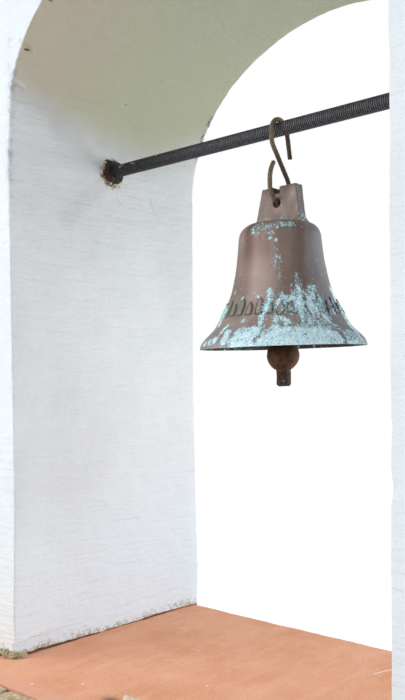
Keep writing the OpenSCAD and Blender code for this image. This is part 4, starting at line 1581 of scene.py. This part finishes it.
@dataclass
class Bell:
    """The bronze bell, cast in one with its lug, the staple in its crown and its clapper."""

    x: float = 41.0
    y: float = 75.0
    hole_z: float = 1865.5
    lean: float = 0.5
    tip: float = 1.6
    bend_z: float = 1895.82
    mouth_r: float = 143.8
    waist_r: float = 71.2
    crown_h: float = 215.6
    shoulder_r: float = 27.0
    dome: float = 2.6
    lip_in: float = 26.3
    lip_h: float = 35.0
    lip_pull: float = 8.0
    lip_rise: float = 14.0
    flare_slope: float = 0.6
    flare_pull: float = 44.0
    waist_slope: float = 0.1
    waist_pull: float = 92.0
    wall: float = 8.0
    bow_wall: float = 13.0
    bow_h: float = 22.0
    rim_wall: float = 7.0
    crown_wall: float = 12.0
    lug_base: float = 93.0
    lug_top: float = 71.0
    lug_h: float = 60.0
    lug_shift: float = 2.5
    lug_skew: float = 5.0
    lug_t: float = 20.0
    lug_hole_r: float = 7.6
    lug_hole_up: float = 1.15
    lug_hole_h: float = 31.2
    notch_w: float = 13.0
    notch_h: float = 11.0
    ball_r: float = 28.0
    ball_drop: float = 13.5
    shank_r: float = 5.5
    eye_rod_r: float = 4.0
    eye_r: float = 10.0
    seat: float = 0.3
    tail_w: float = 23.2
    tail_t: float = 12.2
    tail_drop: float = 53.5
    neck_r: float = 11.0
    neck_flare: float = 8.0
    neck_taper: float = 9.0
    rope_hole_r: float = 4.0
    rope_hole_edge: float = 9.0
    staple_r: float = 3.5
    staple_bend: float = 12.0
    staple_leg: float = 11.0
    tongues: int = 36
    mean_r: float = 100.0
    band_r: float = 104.0
    band_low: float = 53.0

    def __post_init__(self) -> None:
        """Works out heights over the rim."""
        self.shoulder_h = self.crown_h - self.dome - self.shoulder_r
        self.hole_h = self.crown_h + self.lug_hole_h
        self.pivot_h = self.crown_h - self.crown_wall - self.staple_leg - self.staple_bend
        self.eye_h = self.pivot_h + self.staple_r + self.seat + self.eye_rod_r - self.eye_r
        self.grain = Grain(173)

    def hang(self, points: np.ndarray) -> np.ndarray:
        """Takes points from the bell's own frame, with heights over its rim, to where it hangs."""
        lean, tip = math.radians(self.lean), math.radians(self.tip)
        drop = points[..., 2] - self.hole_h
        out = points[..., 0] - self.lug_shift
        across = out * math.cos(lean) - drop * math.sin(lean)
        rise = out * math.sin(lean) + drop * math.cos(lean) + self.hole_z - self.bend_z
        # The bell also tips a little about the hook's low bend
        return points_at(
            self.x + across, self.y + points[..., 1] * math.cos(tip) - rise * math.sin(tip),
            self.bend_z + points[..., 1] * math.sin(tip) + rise * math.cos(tip))

    def outline(self) -> tuple[np.ndarray, np.ndarray]:
        """Outside and inside of the bell as (radius, height), from the rim up.

        Returns:
            The outer outline and the inner one.
        """

        def curve(steer: Sequence[tuple[float, float]], steps: int) -> np.ndarray:
            """Points on the cubic curve that four points steer."""
            p, u = np.array(steer, float), np.linspace(0, 1, steps)[:, None]
            return (1 - u) ** 3 * p[0] + 3 * (1 - u) ** 2 * u * p[1] + 3 * (1 - u) * u**2 * p[2] + u**3 * p[3]

        lip_r = self.mouth_r - self.lip_in
        lip = curve([
            (self.mouth_r, 0.0), (self.mouth_r, self.lip_rise),
            (lip_r + self.flare_slope * self.lip_pull, self.lip_h - self.lip_pull), (lip_r, self.lip_h),
        ], 26)
        flare = curve([
            (lip_r, self.lip_h), (lip_r - self.flare_slope * self.flare_pull, self.lip_h + self.flare_pull),
            (self.waist_r + self.waist_slope * self.waist_pull, self.shoulder_h - self.waist_pull),
            (self.waist_r, self.shoulder_h),
        ], 84)
        turn = np.radians(np.linspace(0, 90, 14))[1:]
        core = self.waist_r - self.shoulder_r
        shoulder = arc((core, self.shoulder_h), self.shoulder_r, turn)
        crown_r = np.linspace(core, 1.0, 10)[1:]
        crown = np.stack([crown_r, self.crown_h - self.dome * (crown_r / core) ** 2], 1)
        outer = np.vstack([lip, flare[1:], shoulder, crown])
        sides = np.vstack([lip, flare[1:]])[::5]
        in_round = self.shoulder_r - self.wall
        in_h = self.crown_h - self.crown_wall - in_round
        height = sides[:, 1]
        swell = np.sin(np.radians(90 * np.clip(height / self.bow_h, 0, 1)))
        bow = self.rim_wall + (self.bow_wall - self.rim_wall) * swell
        thin = self.wall + (self.bow_wall - self.wall) * hump(height - self.bow_h, self.bow_h)
        metal = np.where(height < self.bow_h, bow, thin)
        low = np.stack([sides[:, 0] - metal, height], 1)[height < in_h - 1]
        in_core = self.waist_r - self.wall - in_round
        high = arc((in_core, in_h), in_round, np.radians(np.linspace(0, 90, 8)))
        inner = np.vstack([low, high, [[1.0, self.crown_h - self.crown_wall]]])
        return outer, inner

    def relief(self, angle: np.ndarray, height: np.ndarray) -> tuple[np.ndarray, np.ndarray]:
        """The cast ornament: upright tongues, long and short in turn, with painted shade round them.

        Args:
            angle: Degrees round the bell.
            height: Height over the rim, in mm.

        Returns:
            How far it stands out, in mm, and how much painted shade lies beside it.
        """
        pitch = 360.0 / self.tongues
        number = np.floor(angle / pitch)
        off = np.abs(angle - (number + 0.5) * pitch) * np.pi / 180 * self.band_r
        high = np.where(number % 2 == 0, 79.0, 72.0)
        width = 4.4 * np.clip((high - height) / 9, 0.0, 1.0) ** 0.5
        low, past = self.band_low, off - width
        inside = ease(1.0, -1.0, past) * between(height, low, low + 2, high + 0.5, high - 1.5)
        beside = ease(4.2, 0.8, past) * between(height, low - 3, low + 1, high + 4, high)
        return 2.2 * inside, beside * (1 - inside)

    def blooms(self) -> list[Bloom]:
        """Verdigris by place: read off where it shows, and drawn by chance behind."""
        # Half width, strength, and the angle and height of each place, from the top down
        rows = (
            (5.5, 0.85, -67, 99, -67, 76, -68, 59), (5.0, 0.68, -68, 62, -71, 46, -70, 30),
            (4.5, 0.66, -55, 92, -51, 70), (6.0, 0.7, -60, 53, -60, 33), (5.0, 0.7, -52, 52, -51, 33),
            (5.5, 0.8, -36, 106, -36, 87, -38, 65, -37, 40), (4.0, 0.5, -37, 126, -36, 100),
            (8.6, 0.85, -36, 97, -37, 78), (9.0, 0.62, -17, 104, -21, 87, -24, 68, -24, 44),
            (7.0, 0.75, -19, 57, -14, 36), (8.0, 0.48, 4, 80, -1, 50), (6.0, 0.55, -9, 38, -9, 24),
            (5.0, 0.78, -124, 76, -122, 40), (5.0, 0.7, -106, 38, -106, 24),
            (7.0, 0.95, -107, 22, -107, 9), (6.0, 0.9, -114, 18, -114, 7), (6.0, 0.9, -98, 32, -97, 7),
            (6.0, 0.85, -121, 14, -122, 6), (3.5, 0.7, -103, 42, -103, 34),
            (3.4, 0.95, -82, 32, -86, 24, -89, 6), (3.5, 0.7, -88, 48, -88, 41),
            (2.6, 0.7, -84, 90, -79, 81), (2.4, 0.8, -118, 98, -118, 93), (2.4, 0.7, -99, 85, -99, 80),
            (9.0, 0.48, -50, 211, -50, 198), (8.0, 0.52, -40, 211, -40, 199),
            (3.0, 0.7, -64, 192, -64, 186), (2.6, 0.9, -59, 178, -59, 172),
            (2.6, 0.7, -67, 182, -67, 176), (2.8, 0.32, -60, 168, -61, 128),
            (2.8, 0.32, -54, 158, -56, 103), (14.0, 0.4, -90, 209, -92, 190),
            (12.0, 0.42, -66, 208, -64, 196), (9.0, 0.8, -46, 86, -46, 74), (6.0, 0.72, -54, 80, -56, 68),
            (7.0, 0.8, -28, 90, -27, 60), (4.0, 0.5, -14, 92, -12, 70), (12.0, 0.78, -58, 50, -48, 36),
        )
        seen = [Bloom(tuple(zip(way[::2], way[1::2])), width, strength) for width, strength, *way in rows]
        draw = np.random.default_rng(191)
        for angle in np.arange(16.0, 230.0, 10.0):
            at = angle + draw.uniform(-4, 4)
            top = draw.uniform(50, 118)
            path = ((at, top), (at + draw.uniform(-5, 5), 22.0))
            seen.append(Bloom(path, draw.uniform(3.5, 8.0), draw.uniform(0.4, 0.95)))
            if draw.uniform() < 0.3:
                seen.append(Bloom(((at, 206.0), (at, draw.uniform(186, 198))), draw.uniform(4, 8), 0.65))
        return seen

    def growth(
        self, angle: np.ndarray, height: np.ndarray, radius: np.ndarray, spots: np.ndarray
    ) -> np.ndarray:
        """Strength of the verdigris at each point.

        Args:
            angle: Degrees round the bell, from -180 to 180.
            height: Height over the rim, in mm.
            radius: Distance from the bell's axis, in mm.
            spots: The same points in the bell's frame.

        Returns:
            Below 0.4 for next to none, to 1 for a full crust.
        """
        rough = self.grain.at(spots * np.array([1, 1, 0.5]), 12.0, 2)
        sway = self.grain.at(spots + 400.0, 22.0, 2)
        total = np.full(len(angle), -0.12) + 0.06 * rough
        for bloom in self.blooms():
            ats, highs = np.array(bloom.path, float)[::-1].T
            at = np.interp(height, highs, ats)
            off = ((angle - at + 180) % 360 - 180) * np.pi / 180 * radius + 2.2 * sway
            width = 1.5 * bloom.width * (1 + 0.4 * rough)
            soft = min(9.0, (highs[-1] - highs[0]) / 2)
            ends = ease(highs[-1] + 3, highs[-1] - soft, height) * ease(highs[0] - soft, highs[0] + 1, height)
            total = np.maximum(total, 0.95 * bloom.strength * ends * hump(off, width))
        # Fine specks over the band, densest right of the middle
        spray = between(angle, -86, -68, 2, -14) * ease(108, 66, height + 8 * rough)
        dense = between(angle, -50, -40, -8, -18) * ease(96, 70, height + 10 * rough)
        total = np.maximum(total, 0.3 * spray + 0.2 * dense)
        # The lip holds the thickest crust on the side that shows, and a broken one elsewhere
        edge = np.interp(angle, (-93, -83, -70, -52, -33, -20, -13, -10), (29, 31, 33, 31, 30, 28, 20, 4))
        zone = ease(6.0, -5.0, height - edge + 3.5 * rough) * between(angle, -96, -88, -8, -14)
        total = np.maximum(total, (0.81 + 0.14 * rough) * zone)
        fading = between(angle, -14, -6, 40, 0) * ease(34, 16, height + 6 * rough)
        total = np.maximum(total, 0.5 * fading)
        behind = np.maximum(ease(20, 50, angle), ease(-126, -140, angle))
        dark_gap = hump(np.hypot((angle + 43) * 1.8, height - 43), 7)
        total = np.maximum(total, behind * (0.66 + 0.22 * rough) * ease(38, 20, height + 9 * rough))
        # Rain keeps one narrow run of the lip brown
        washed = hump(angle + 69 - 0.25 * (height - 20), 3.0) * between(height, 46, 34, 2, 8)
        return total - 0.4 * dark_gap - 0.32 * washed

    def casting(self) -> Object:
        """The turned body of the bell with its cast band and pits."""
        outer, inner = self.outline()
        turn = np.radians(np.linspace(0, 360, 561)[:-1])
        outline = np.vstack([inner[::-1], outer])
        radius, height = outline[:, :1], outline[:, 1:]
        bell = tube("bell_casting", points_at(radius * np.cos(turn), radius * np.sin(turn), height))
        local = places(bell)
        x, y, z = local.T
        angle = np.degrees(np.arctan2(y, x))
        reach = np.hypot(x, y)
        outside = np.zeros(len(local), bool)
        outside[len(inner) * len(turn):] = True
        raised, dirt = self.relief(angle % 360, z)
        lift = raised * outside
        lift += 0.35 * self.grain.at(local, 30.0, 2) + 0.14 * self.grain.at(local, 6.0)
        # Faint rings that the casting pattern was turned with
        rings_on = between(z, 84, 96, 196, 186) * ease(-50, -80, angle) * outside
        wave = (z / 5.4 + angle / 28) * 2 * np.pi + 2 * self.grain.at(local, 40.0)
        lift += 0.09 * rings_on * np.sin(wave)
        # Casting pits: angle, height, half width, depth
        for at, high, wide, deep in (
            (-101, 198, 2.2, 1.6), (-79, 181, 2.6, 1.7), (-20, 150, 1.8, 1.0), (-64, 132, 1.5, 0.8),
            (-35, 104, 1.6, 0.8), (40, 160, 2.2, 1.4), (130, 120, 2.0, 1.2), (-150, 190, 2.2, 1.4),
        ):
            gap = np.hypot(((angle - at + 180) % 360 - 180) * np.pi / 180 * reach, z - high)
            lift -= deep * hump(gap, wide) * outside
        verdigris = self.growth(angle, z, reach, local)
        inner_crust = 0.15 + 0.3 * self.grain.at(local, 14.0, 2)
        paint(bell, verdigris=np.where(outside, verdigris, inner_crust))
        paint(bell, meridian=self.meridian(local))
        cloud = self.grain.at(local, 46.0, 3)
        drips = hump((angle + 87) * 1.1, 3.0) * ease(178, 192, z)
        olive = between(angle, -84, -96, -150, -128) * ease(48, 16, z + 10 * cloud)
        inset = between(angle, -74, -64, -30, -42) * between(z, 50, 56, 84, 78)
        haze = between(angle, -82, -94, -125, -110) * between(z, 44, 56, 90, 74)
        paint(bell, green=np.clip(0.4 * drips + 0.25 * olive + 0.35 * inset + 0.4 * haze, 0, 1) * outside)
        # Painted shade: bands on the front, the left and the upper left of the bell are painted darker
        turned = angle + 6 * cloud
        middle = between(turned, -66, -50, -12, -24) * (0.7 + 0.3 * ease(-42, -28, turned))
        left = 0.9 * ease(-84, -98, angle) * (0.4 + 0.6 * ease(-122, -102, angle)) * ease(-160, -130, angle)
        upper = 0.75 * between(turned, -60, -70, -114, -100) * ease(122, 172, z)
        # Painted highlight: a lighter upright band on the bell's front
        bright = hump(turned + 77, 15) * ease(60, 90, z)
        paint(bell, rose=0.7 * bright * outside)
        paint(bell, dusk=0.6 * (middle + left + upper) * ease(40, 70, z) * outside)
        # Painted shade: the right side of the bell is painted a cooler, darker grey
        paint(bell, cool=0.8 * ease(-26, -6, angle + 5 * cloud) * ease(150, 120, angle) * outside)
        # Painted shade: the grooves beside the tongues are painted dark, and the whole inside of the bell
        # darker still
        groove = 0.92 * dirt * outside
        paint(bell, soot=np.where(outside, groove, 0.92))
        local += facing(bell) * lift[:, None]
        move(bell, self.hang(local))
        smooth(bell, 45.0)
        return bell

    def meridian(self, local: np.ndarray) -> np.ndarray:
        """A coordinate in metres that is shrunk along the height, so that patterns run down the bell."""
        x, y, z = local.T
        reach = np.maximum(np.hypot(x, y), 1e-6)
        return points_at(self.mean_r * x / reach, self.mean_r * y / reach, 0.3 * z) * MM

    def lug(self) -> Object:
        """The tapered lug with its hole and notch, eased into the crown at its foot."""
        slope = (self.lug_base - self.lug_top) / 2 / self.lug_h
        quarter = np.radians(np.linspace(0, 90, 8))
        rings = []
        foot = [-9.0, -6.0, *np.linspace(-3, 9, 13)]
        for height in (*foot, *np.linspace(14, self.lug_h - 1, 8), self.lug_h):
            skirt = 5.0 * math.exp(-max(height + 3, 0.0) / 4)
            bevel = 0.8 * (height == self.lug_h)
            half_x = self.lug_base / 2 - slope * height + skirt - bevel
            half_y = self.lug_t / 2 + skirt - bevel
            at, corner = self.lug_skew * height / self.lug_h, 1.4 + skirt
            ring = []
            for turn, way_x, way_y in ((0, 1, 1), (90, -1, 1), (180, -1, -1), (270, 1, -1)):
                round_x, round_y = arc((0, 0), corner, quarter + math.radians(turn)).T
                ring.append(points_at(
                    at + way_x * (half_x - corner) + round_x, way_y * (half_y - corner) + round_y, height))
            rings.append(np.vstack(ring))
        lug = tube("bell_lug", np.stack(rings))
        mark = np.radians(np.arange(0, 360, 10.0))
        half = self.notch_w / 2
        top = self.lug_h - self.notch_h + half
        hole_at = self.lug_hole_h + self.lug_hole_up
        square = np.array([(-half, top), (half, top), (half + 1.5, top + 30), (-half - 1.5, top + 30)])
        for outline in (arc((0, hole_at), self.lug_hole_r, mark), arc((0, top), half, mark), square):
            cut(lug, slab("tool", outline, 2 * self.lug_t))
        fuse(lug, 0.8, 1)
        roughen(lug, lambda p: 0.45 * self.grain.at(p, 18.0, 2) + 0.2 * self.grain.at(p, 5.0))
        local = places(lug)
        x, _, z = local.T
        hole = np.hypot(x, z - hole_at)
        notch = ease(half + 2.5, half, np.abs(x)) * ease(top - half - 3, top - half + 1, z)
        face = ease(0.2, 0.8, -facing(lug)[:, 1])
        reach = hole - self.lug_hole_r
        rim = ease(3.2, 0.8, reach + 1.2 * self.grain.at(local, 5.0)) * ease(-1.2, 0.0, reach)
        inside = ease(1.0, -0.2, reach)
        side_face = ease(0.4, 0.9, facing(lug)[:, 0])
        paint(lug, rust=0.3 * rim)
        # Painted shade: the hole and the notch are painted dark, and the lug's sides and top darker than its
        # front, which keeps a mottled dark film
        mottle = 0.16 * self.grain.at(local * np.array([1.0, 1.0, 0.5]), 11.0, 3)
        film = (0.17 + mottle) * face + 0.2 * (1 - face) + 0.2 * ease(44, 60, z)
        paint(lug, soot=np.clip(0.9 * inside + 0.9 * notch + film, 0, 0.96))
        # Painted highlight: the lug's front face is lighter in patches
        paint(lug, rose=0.2 * ease(0.2, 0.9, self.grain.at(local, 16.0, 2)) * face)
        # Painted shade: the lug's side face is painted a cooler, darker grey
        paint(lug, cool=0.6 * side_face)
        paint(lug, green=0.35 * ease(14, 0, z + 6 * self.grain.at(local, 12.0)))
        edge = self.lug_skew * z / self.lug_h + self.lug_base / 2 - slope * z
        arris = ease(5.0, 1.0, np.abs(x - edge))
        crusted = 0.14 * side_face + 0.1 * arris * face + 0.22 * ease(16, 0, z) - inside - notch
        paint(lug, verdigris=crusted)
        local += np.array([self.lug_shift, 0.0, self.crown_h])
        paint(lug, meridian=self.meridian(local))
        move(lug, self.hang(local))
        smooth(lug, 60.0)
        return lug

    def ring_rod(
        self, name: str, radius: float, rod_r: float, centre_h: float, angles: np.ndarray,
        upright: bool, across: bool,
    ) -> Object:
        """A piece of rod bent to part of a ring, or to the whole one.

        Args:
            name: The object's name.
            radius: Radius of the ring at the middle of the rod, in mm.
            rod_r: Radius of the rod, in mm.
            centre_h: Height of the ring's centre over the rim.
            angles: Angles round the ring, in degrees; 90 is up.
            upright: Whether straight legs go up from both ends.
            across: Whether the ring lies in the plane of X, and not of Y.

        Returns:
            The object, in the bell's frame.
        """
        line = arc((0, 0), radius, np.radians(angles))
        if upright:
            leg = np.linspace(self.staple_leg + 4, 1, 8)[:, None] * [[0, 1]]
            line = np.vstack([leg + line[0], line, leg[::-1] + line[-1]])
        way = np.gradient(line, axis=0)
        way /= np.linalg.norm(way, axis=1, keepdims=True)
        mark = np.radians(np.arange(0, 360, 18.0))
        out = line[:, :1] - way[:, 1:] * rod_r * np.cos(mark)
        up = line[:, 1:] + way[:, :1] * rod_r * np.cos(mark) + centre_h
        off = rod_r * np.sin(mark)
        rings = points_at(out, off, up) if across else points_at(off, out, up)
        closed = abs(angles[-1] - angles[0]) > 359
        return tube(name, rings[:-1] if closed else rings, closed)

    def staple(self) -> Object:
        """The iron staple cast into the crown, that carries the clapper."""
        staple = self.ring_rod(
            "clapper_staple_rod", self.staple_bend, self.staple_r, self.pivot_h + self.staple_bend,
            np.linspace(180, 360, 28), True, True)
        grain = Grain(211)
        roughen(staple, lambda p: 0.15 * grain.at(p, 3.0, 2) - 0.15)
        local = places(staple)
        paint(staple, rust=np.clip(0.2 + 0.3 * grain.at(local, 8.0), 0, 1))
        paint(staple, wear=0.6 * ease(self.pivot_h + 8, self.pivot_h + 1, local[:, 2]))
        move(staple, self.hang(local))
        smooth(staple, 60.0)
        return staple

    def clapper(self) -> Object:
        """The clapper: eye, shank, ball, neck and pierced tail forged in one."""
        ball_h = -self.ball_drop
        mark = np.radians(np.arange(0, 360, 5.0))

        def turned(name: str, outline: Sequence[tuple[float, float]]) -> Object:
            """A solid turned about the bell's axis from (radius, height) pairs."""
            pairs = np.array(outline, float)
            reach, height = pairs[:, :1], pairs[:, 1:]
            return tube(name, points_at(reach * np.cos(mark), reach * np.sin(mark), height))

        latitude = np.radians(np.linspace(-89, 89, 48))
        ball = turned("ball", arc((0, ball_h), self.ball_r, latitude))
        top = self.eye_h - self.eye_r
        shank = turned("shank", [
            (self.shank_r, ball_h), (self.shank_r * 0.92, ball_h + 60), (self.shank_r, top)])
        flare = self.neck_r + self.neck_flare
        neck_h = ball_h - math.sqrt(self.ball_r**2 - flare**2) + 1
        hollow = np.radians(np.linspace(90, 180, 12))
        neck = turned("neck", [
            (flare, neck_h + 2), *arc((flare, neck_h - self.neck_flare), self.neck_flare, hollow),
            (self.tail_t / 2, neck_h - self.neck_flare - self.neck_taper),
        ])
        end = ball_h - self.tail_drop
        round_r = self.tail_w / 4
        corner = np.radians(np.linspace(0, 90, 7))
        half = self.tail_w / 2
        in_ball = end + self.tail_drop - self.ball_r / 2
        tail = slab("tail", np.vstack([
            [(half, in_ball), (-half, in_ball)],
            arc((round_r - half, end + round_r), round_r, corner + np.pi),
            arc((half - round_r, end + round_r), round_r, corner - np.pi / 2),
        ]), self.tail_t / 2)
        pin = arc((0, end + self.rope_hole_edge), self.rope_hole_r, np.radians(np.arange(0, 360, 15.0)))
        cut(tail, slab("pin", pin, self.tail_t))
        eye = self.ring_rod(
            "eye", self.eye_r, self.eye_rod_r, self.eye_h, np.linspace(0, 360, 49), False, False)
        clapper = join("forged_clapper", [eye, shank, ball, neck, tail])
        fuse(clapper, 0.75, 2)
        grain = Grain(223)

        def lift(points: np.ndarray) -> np.ndarray:
            """Hammer marks and pits, in mm; none where the eye turns on the staple."""
            free = ease(self.eye_h - 16, self.eye_h - 30, points[:, 2])
            return free * (0.5 * grain.at(points, 16.0, 2) + 0.25 * grain.at(points, 4.5, 2))

        roughen(clapper, lift)
        local = places(clapper)
        # Painted light: the ball's lower right is painted rust orange, as if lit
        low_right = ease(-10, 22, local[:, 0] * 0.6 - local[:, 1] * 0.8 - (local[:, 2] - ball_h) * 0.7)
        on_ball = ease(30.5, 28.5, np.linalg.norm(local - [0, 0, ball_h], axis=1))
        paint(clapper, rust=np.clip(0.16 * low_right * on_ball + 0.1 * grain.at(local, 12.0), 0, 1))
        stripe = ease(3, 8, local[:, 0]) * ease(ball_h - 26, ball_h - 32, local[:, 2])
        # Painted shade: the top of the ball is painted dark
        roof = ease(ball_h + 10, ball_h + 24, local[:, 2])
        on_tail = ease(ball_h - 27, ball_h - 31, local[:, 2])
        paint(clapper, wear=np.clip(0.4 * stripe + 0.7 * roof + 0.25 * on_tail, 0, 1))
        move(clapper, self.hang(local))
        smooth(clapper, 60.0)
        return clapper

    def build(self, bronze: Material, staple: Material, iron: Material) -> None:
        """Builds and dresses the bell, its staple and its clapper."""
        dress(self.casting(), Body.BELL, "bell_bronze", bronze, "bell")
        dress(self.lug(), Body.BELL, "bell_bronze", bronze)
        dress(self.staple(), Body.BELL, "staple_iron", staple, "clapper_staple")
        dress(self.clapper(), Body.CLAPPER, "clapper_iron", iron, "clapper")


@dataclass
class Studio:
    """Floor, light and camera. The floor and the lamps aren't part of the object."""

    floor_half: float = 30.0
    sky: float = 0.7
    key_watts: float = 62.0
    fill_watts: float = 10.5
    rear_watts: float = 28.0

    def floor(self) -> None:
        """A plain pale floor at the ground."""
        half = self.floor_half / MM
        corners = np.array([(-half, -half, 0), (half, -half, 0), (half, half, 0), (-half, half, 0)], float)
        floor = solid("studio_floor", corners, [[0, 1, 2, 3]])
        floor.data.materials.append(PaleFloor().material())

    def world(self) -> None:
        """Soft even light, with a white background for the camera and for reflections."""
        world = bpy.data.worlds.new("soft_sky")
        bpy.context.scene.world = world
        world.use_nodes = True
        tree = world.node_tree
        tree.nodes.clear()
        seen = add(tree, "LightPath", out="Is Camera Ray")
        for ray in ("Is Glossy Ray", "Is Transmission Ray"):
            seen = add(tree, "Math", {0: seen, 1: add(tree, "LightPath", out=ray)}, operation="MAXIMUM")
        light = add(tree, "Background", {"Color": linear("#FAFCFF"), "Strength": self.sky})
        white = add(tree, "Background", {"Color": (1.0, 1.0, 1.0, 1.0), "Strength": 1.0})
        both = add(tree, "MixShader", {0: seen, 1: light, 2: white})
        add(tree, "OutputWorld", {"Surface": both})

    def lamp(
        self, name: str, spot: Sequence[float], target: Sequence[float], size: float, watts: float
    ) -> None:
        """Adds a soft square lamp.

        Args:
            name: Its name.
            spot: Where it hangs, in metres.
            target: Where it points, in metres.
            size: Its width, in metres.
            watts: Its power.
        """
        light = bpy.data.lights.new(name, "AREA")
        light.size = size
        light.energy = watts
        lamp = put(name, light)
        lamp.location = spot
        lamp.visible_camera = False
        lamp.rotation_euler = (Vector(target) - Vector(spot)).to_track_quat("-Z", "Y").to_euler()

    def camera(self) -> None:
        """The camera at the photograph's place: level, seen from the front right."""
        turn, tilt = math.radians(41.77), math.radians(-0.275)
        right = Vector((math.cos(turn), math.sin(turn), 0.0))
        ahead = Vector((-math.sin(turn), math.cos(turn), 0.0))
        up = Vector((0.0, 0.0, 1.0))
        axis_x = math.cos(tilt) * right + math.sin(tilt) * up
        axis_y = -math.sin(tilt) * right + math.cos(tilt) * up
        view = bpy.data.cameras.new("photo_view")
        view.sensor_fit = "AUTO"
        view.sensor_width = 36.0
        view.lens = 42.19
        view.shift_y = 0.048
        view.clip_start = 0.05
        view.clip_end = 200.0
        camera = put("photo_view", view)
        turned = Matrix((axis_x, axis_y, -ahead)).transposed()
        camera.matrix_world = Matrix.Translation((0.8832, -1.0702, 1.5571)) @ turned.to_4x4()
        bpy.context.scene.camera = camera

    def build(self) -> None:
        """Builds the floor, the light and the camera."""
        self.floor()
        self.world()
        self.lamp("key", (-2.2, -2.4, 2.4), (0.0, -0.2, 1.6), 2.0, self.key_watts)
        self.lamp("fill", (2.6, -1.6, 1.4), (-0.4, 0.1, 1.5), 1.4, self.fill_watts)
        self.lamp("rear", (1.0, 1.8, 1.5), (-0.4, 0.3, 1.5), 1.2, self.rear_watts)
        self.camera()


def main() -> None:
    """Builds the scene in order and says what it made."""
    logging.basicConfig(level=logging.INFO, format="%(name)s %(message)s")
    bpy.context.scene.view_settings.view_transform = "Standard"
    plaster = LimewashedPlaster().material()
    screed = TerracottaScreed().material()
    stone = CoarseStone().material()
    mortar = CoarseStone(
        "lichened_mortar", "#B8AA8C", "#DDD5BC", "#918556", "#57492F", 2.6, 12.0, 0.46).material()
    pale_mortar = CoarseStone(
        "pale_mortar", "#E3D3BC", "#F1E9DA", "#C7A183", "#6E4B3A", 2.8, 16.0, 0.4).material()
    steel = BlackenedSteel().material()
    nut_iron = RustedIron("rusted_nut_iron", "#39302A", "#6A482E", "#1E1A18", 0.62).material()
    crumb = RustedIron("rust_stained_crumbs", "#E6E0D4", "#B98A58", "#6E5240", 0.66).material()
    hook_iron = RustedIron("rusted_hook_rod", "#84745C", "#8A5A37", "#34302B", 0.62).material()
    staple_iron = RustedIron("rusted_staple_iron", "#4F3D33", "#8A5530", "#2B2420", 0.55).material()
    clapper_iron = RustedIron("rusted_clapper_iron", "#4A311F", "#74441F", "#1E140D", 0.56).material()
    bronze = WeatheredBronze().material()
    wall = Masonry()
    wall.build(plaster, screed)
    Sill(wall).build(screed, stone, mortar, pale_mortar)
    CrossBar(wall).build(steel, nut_iron, crumb)
    Hook().build(hook_iron)
    Bell().build(bronze, staple_iron, clapper_iron)
    Studio().build()


if __name__ == "__main__":
    main()
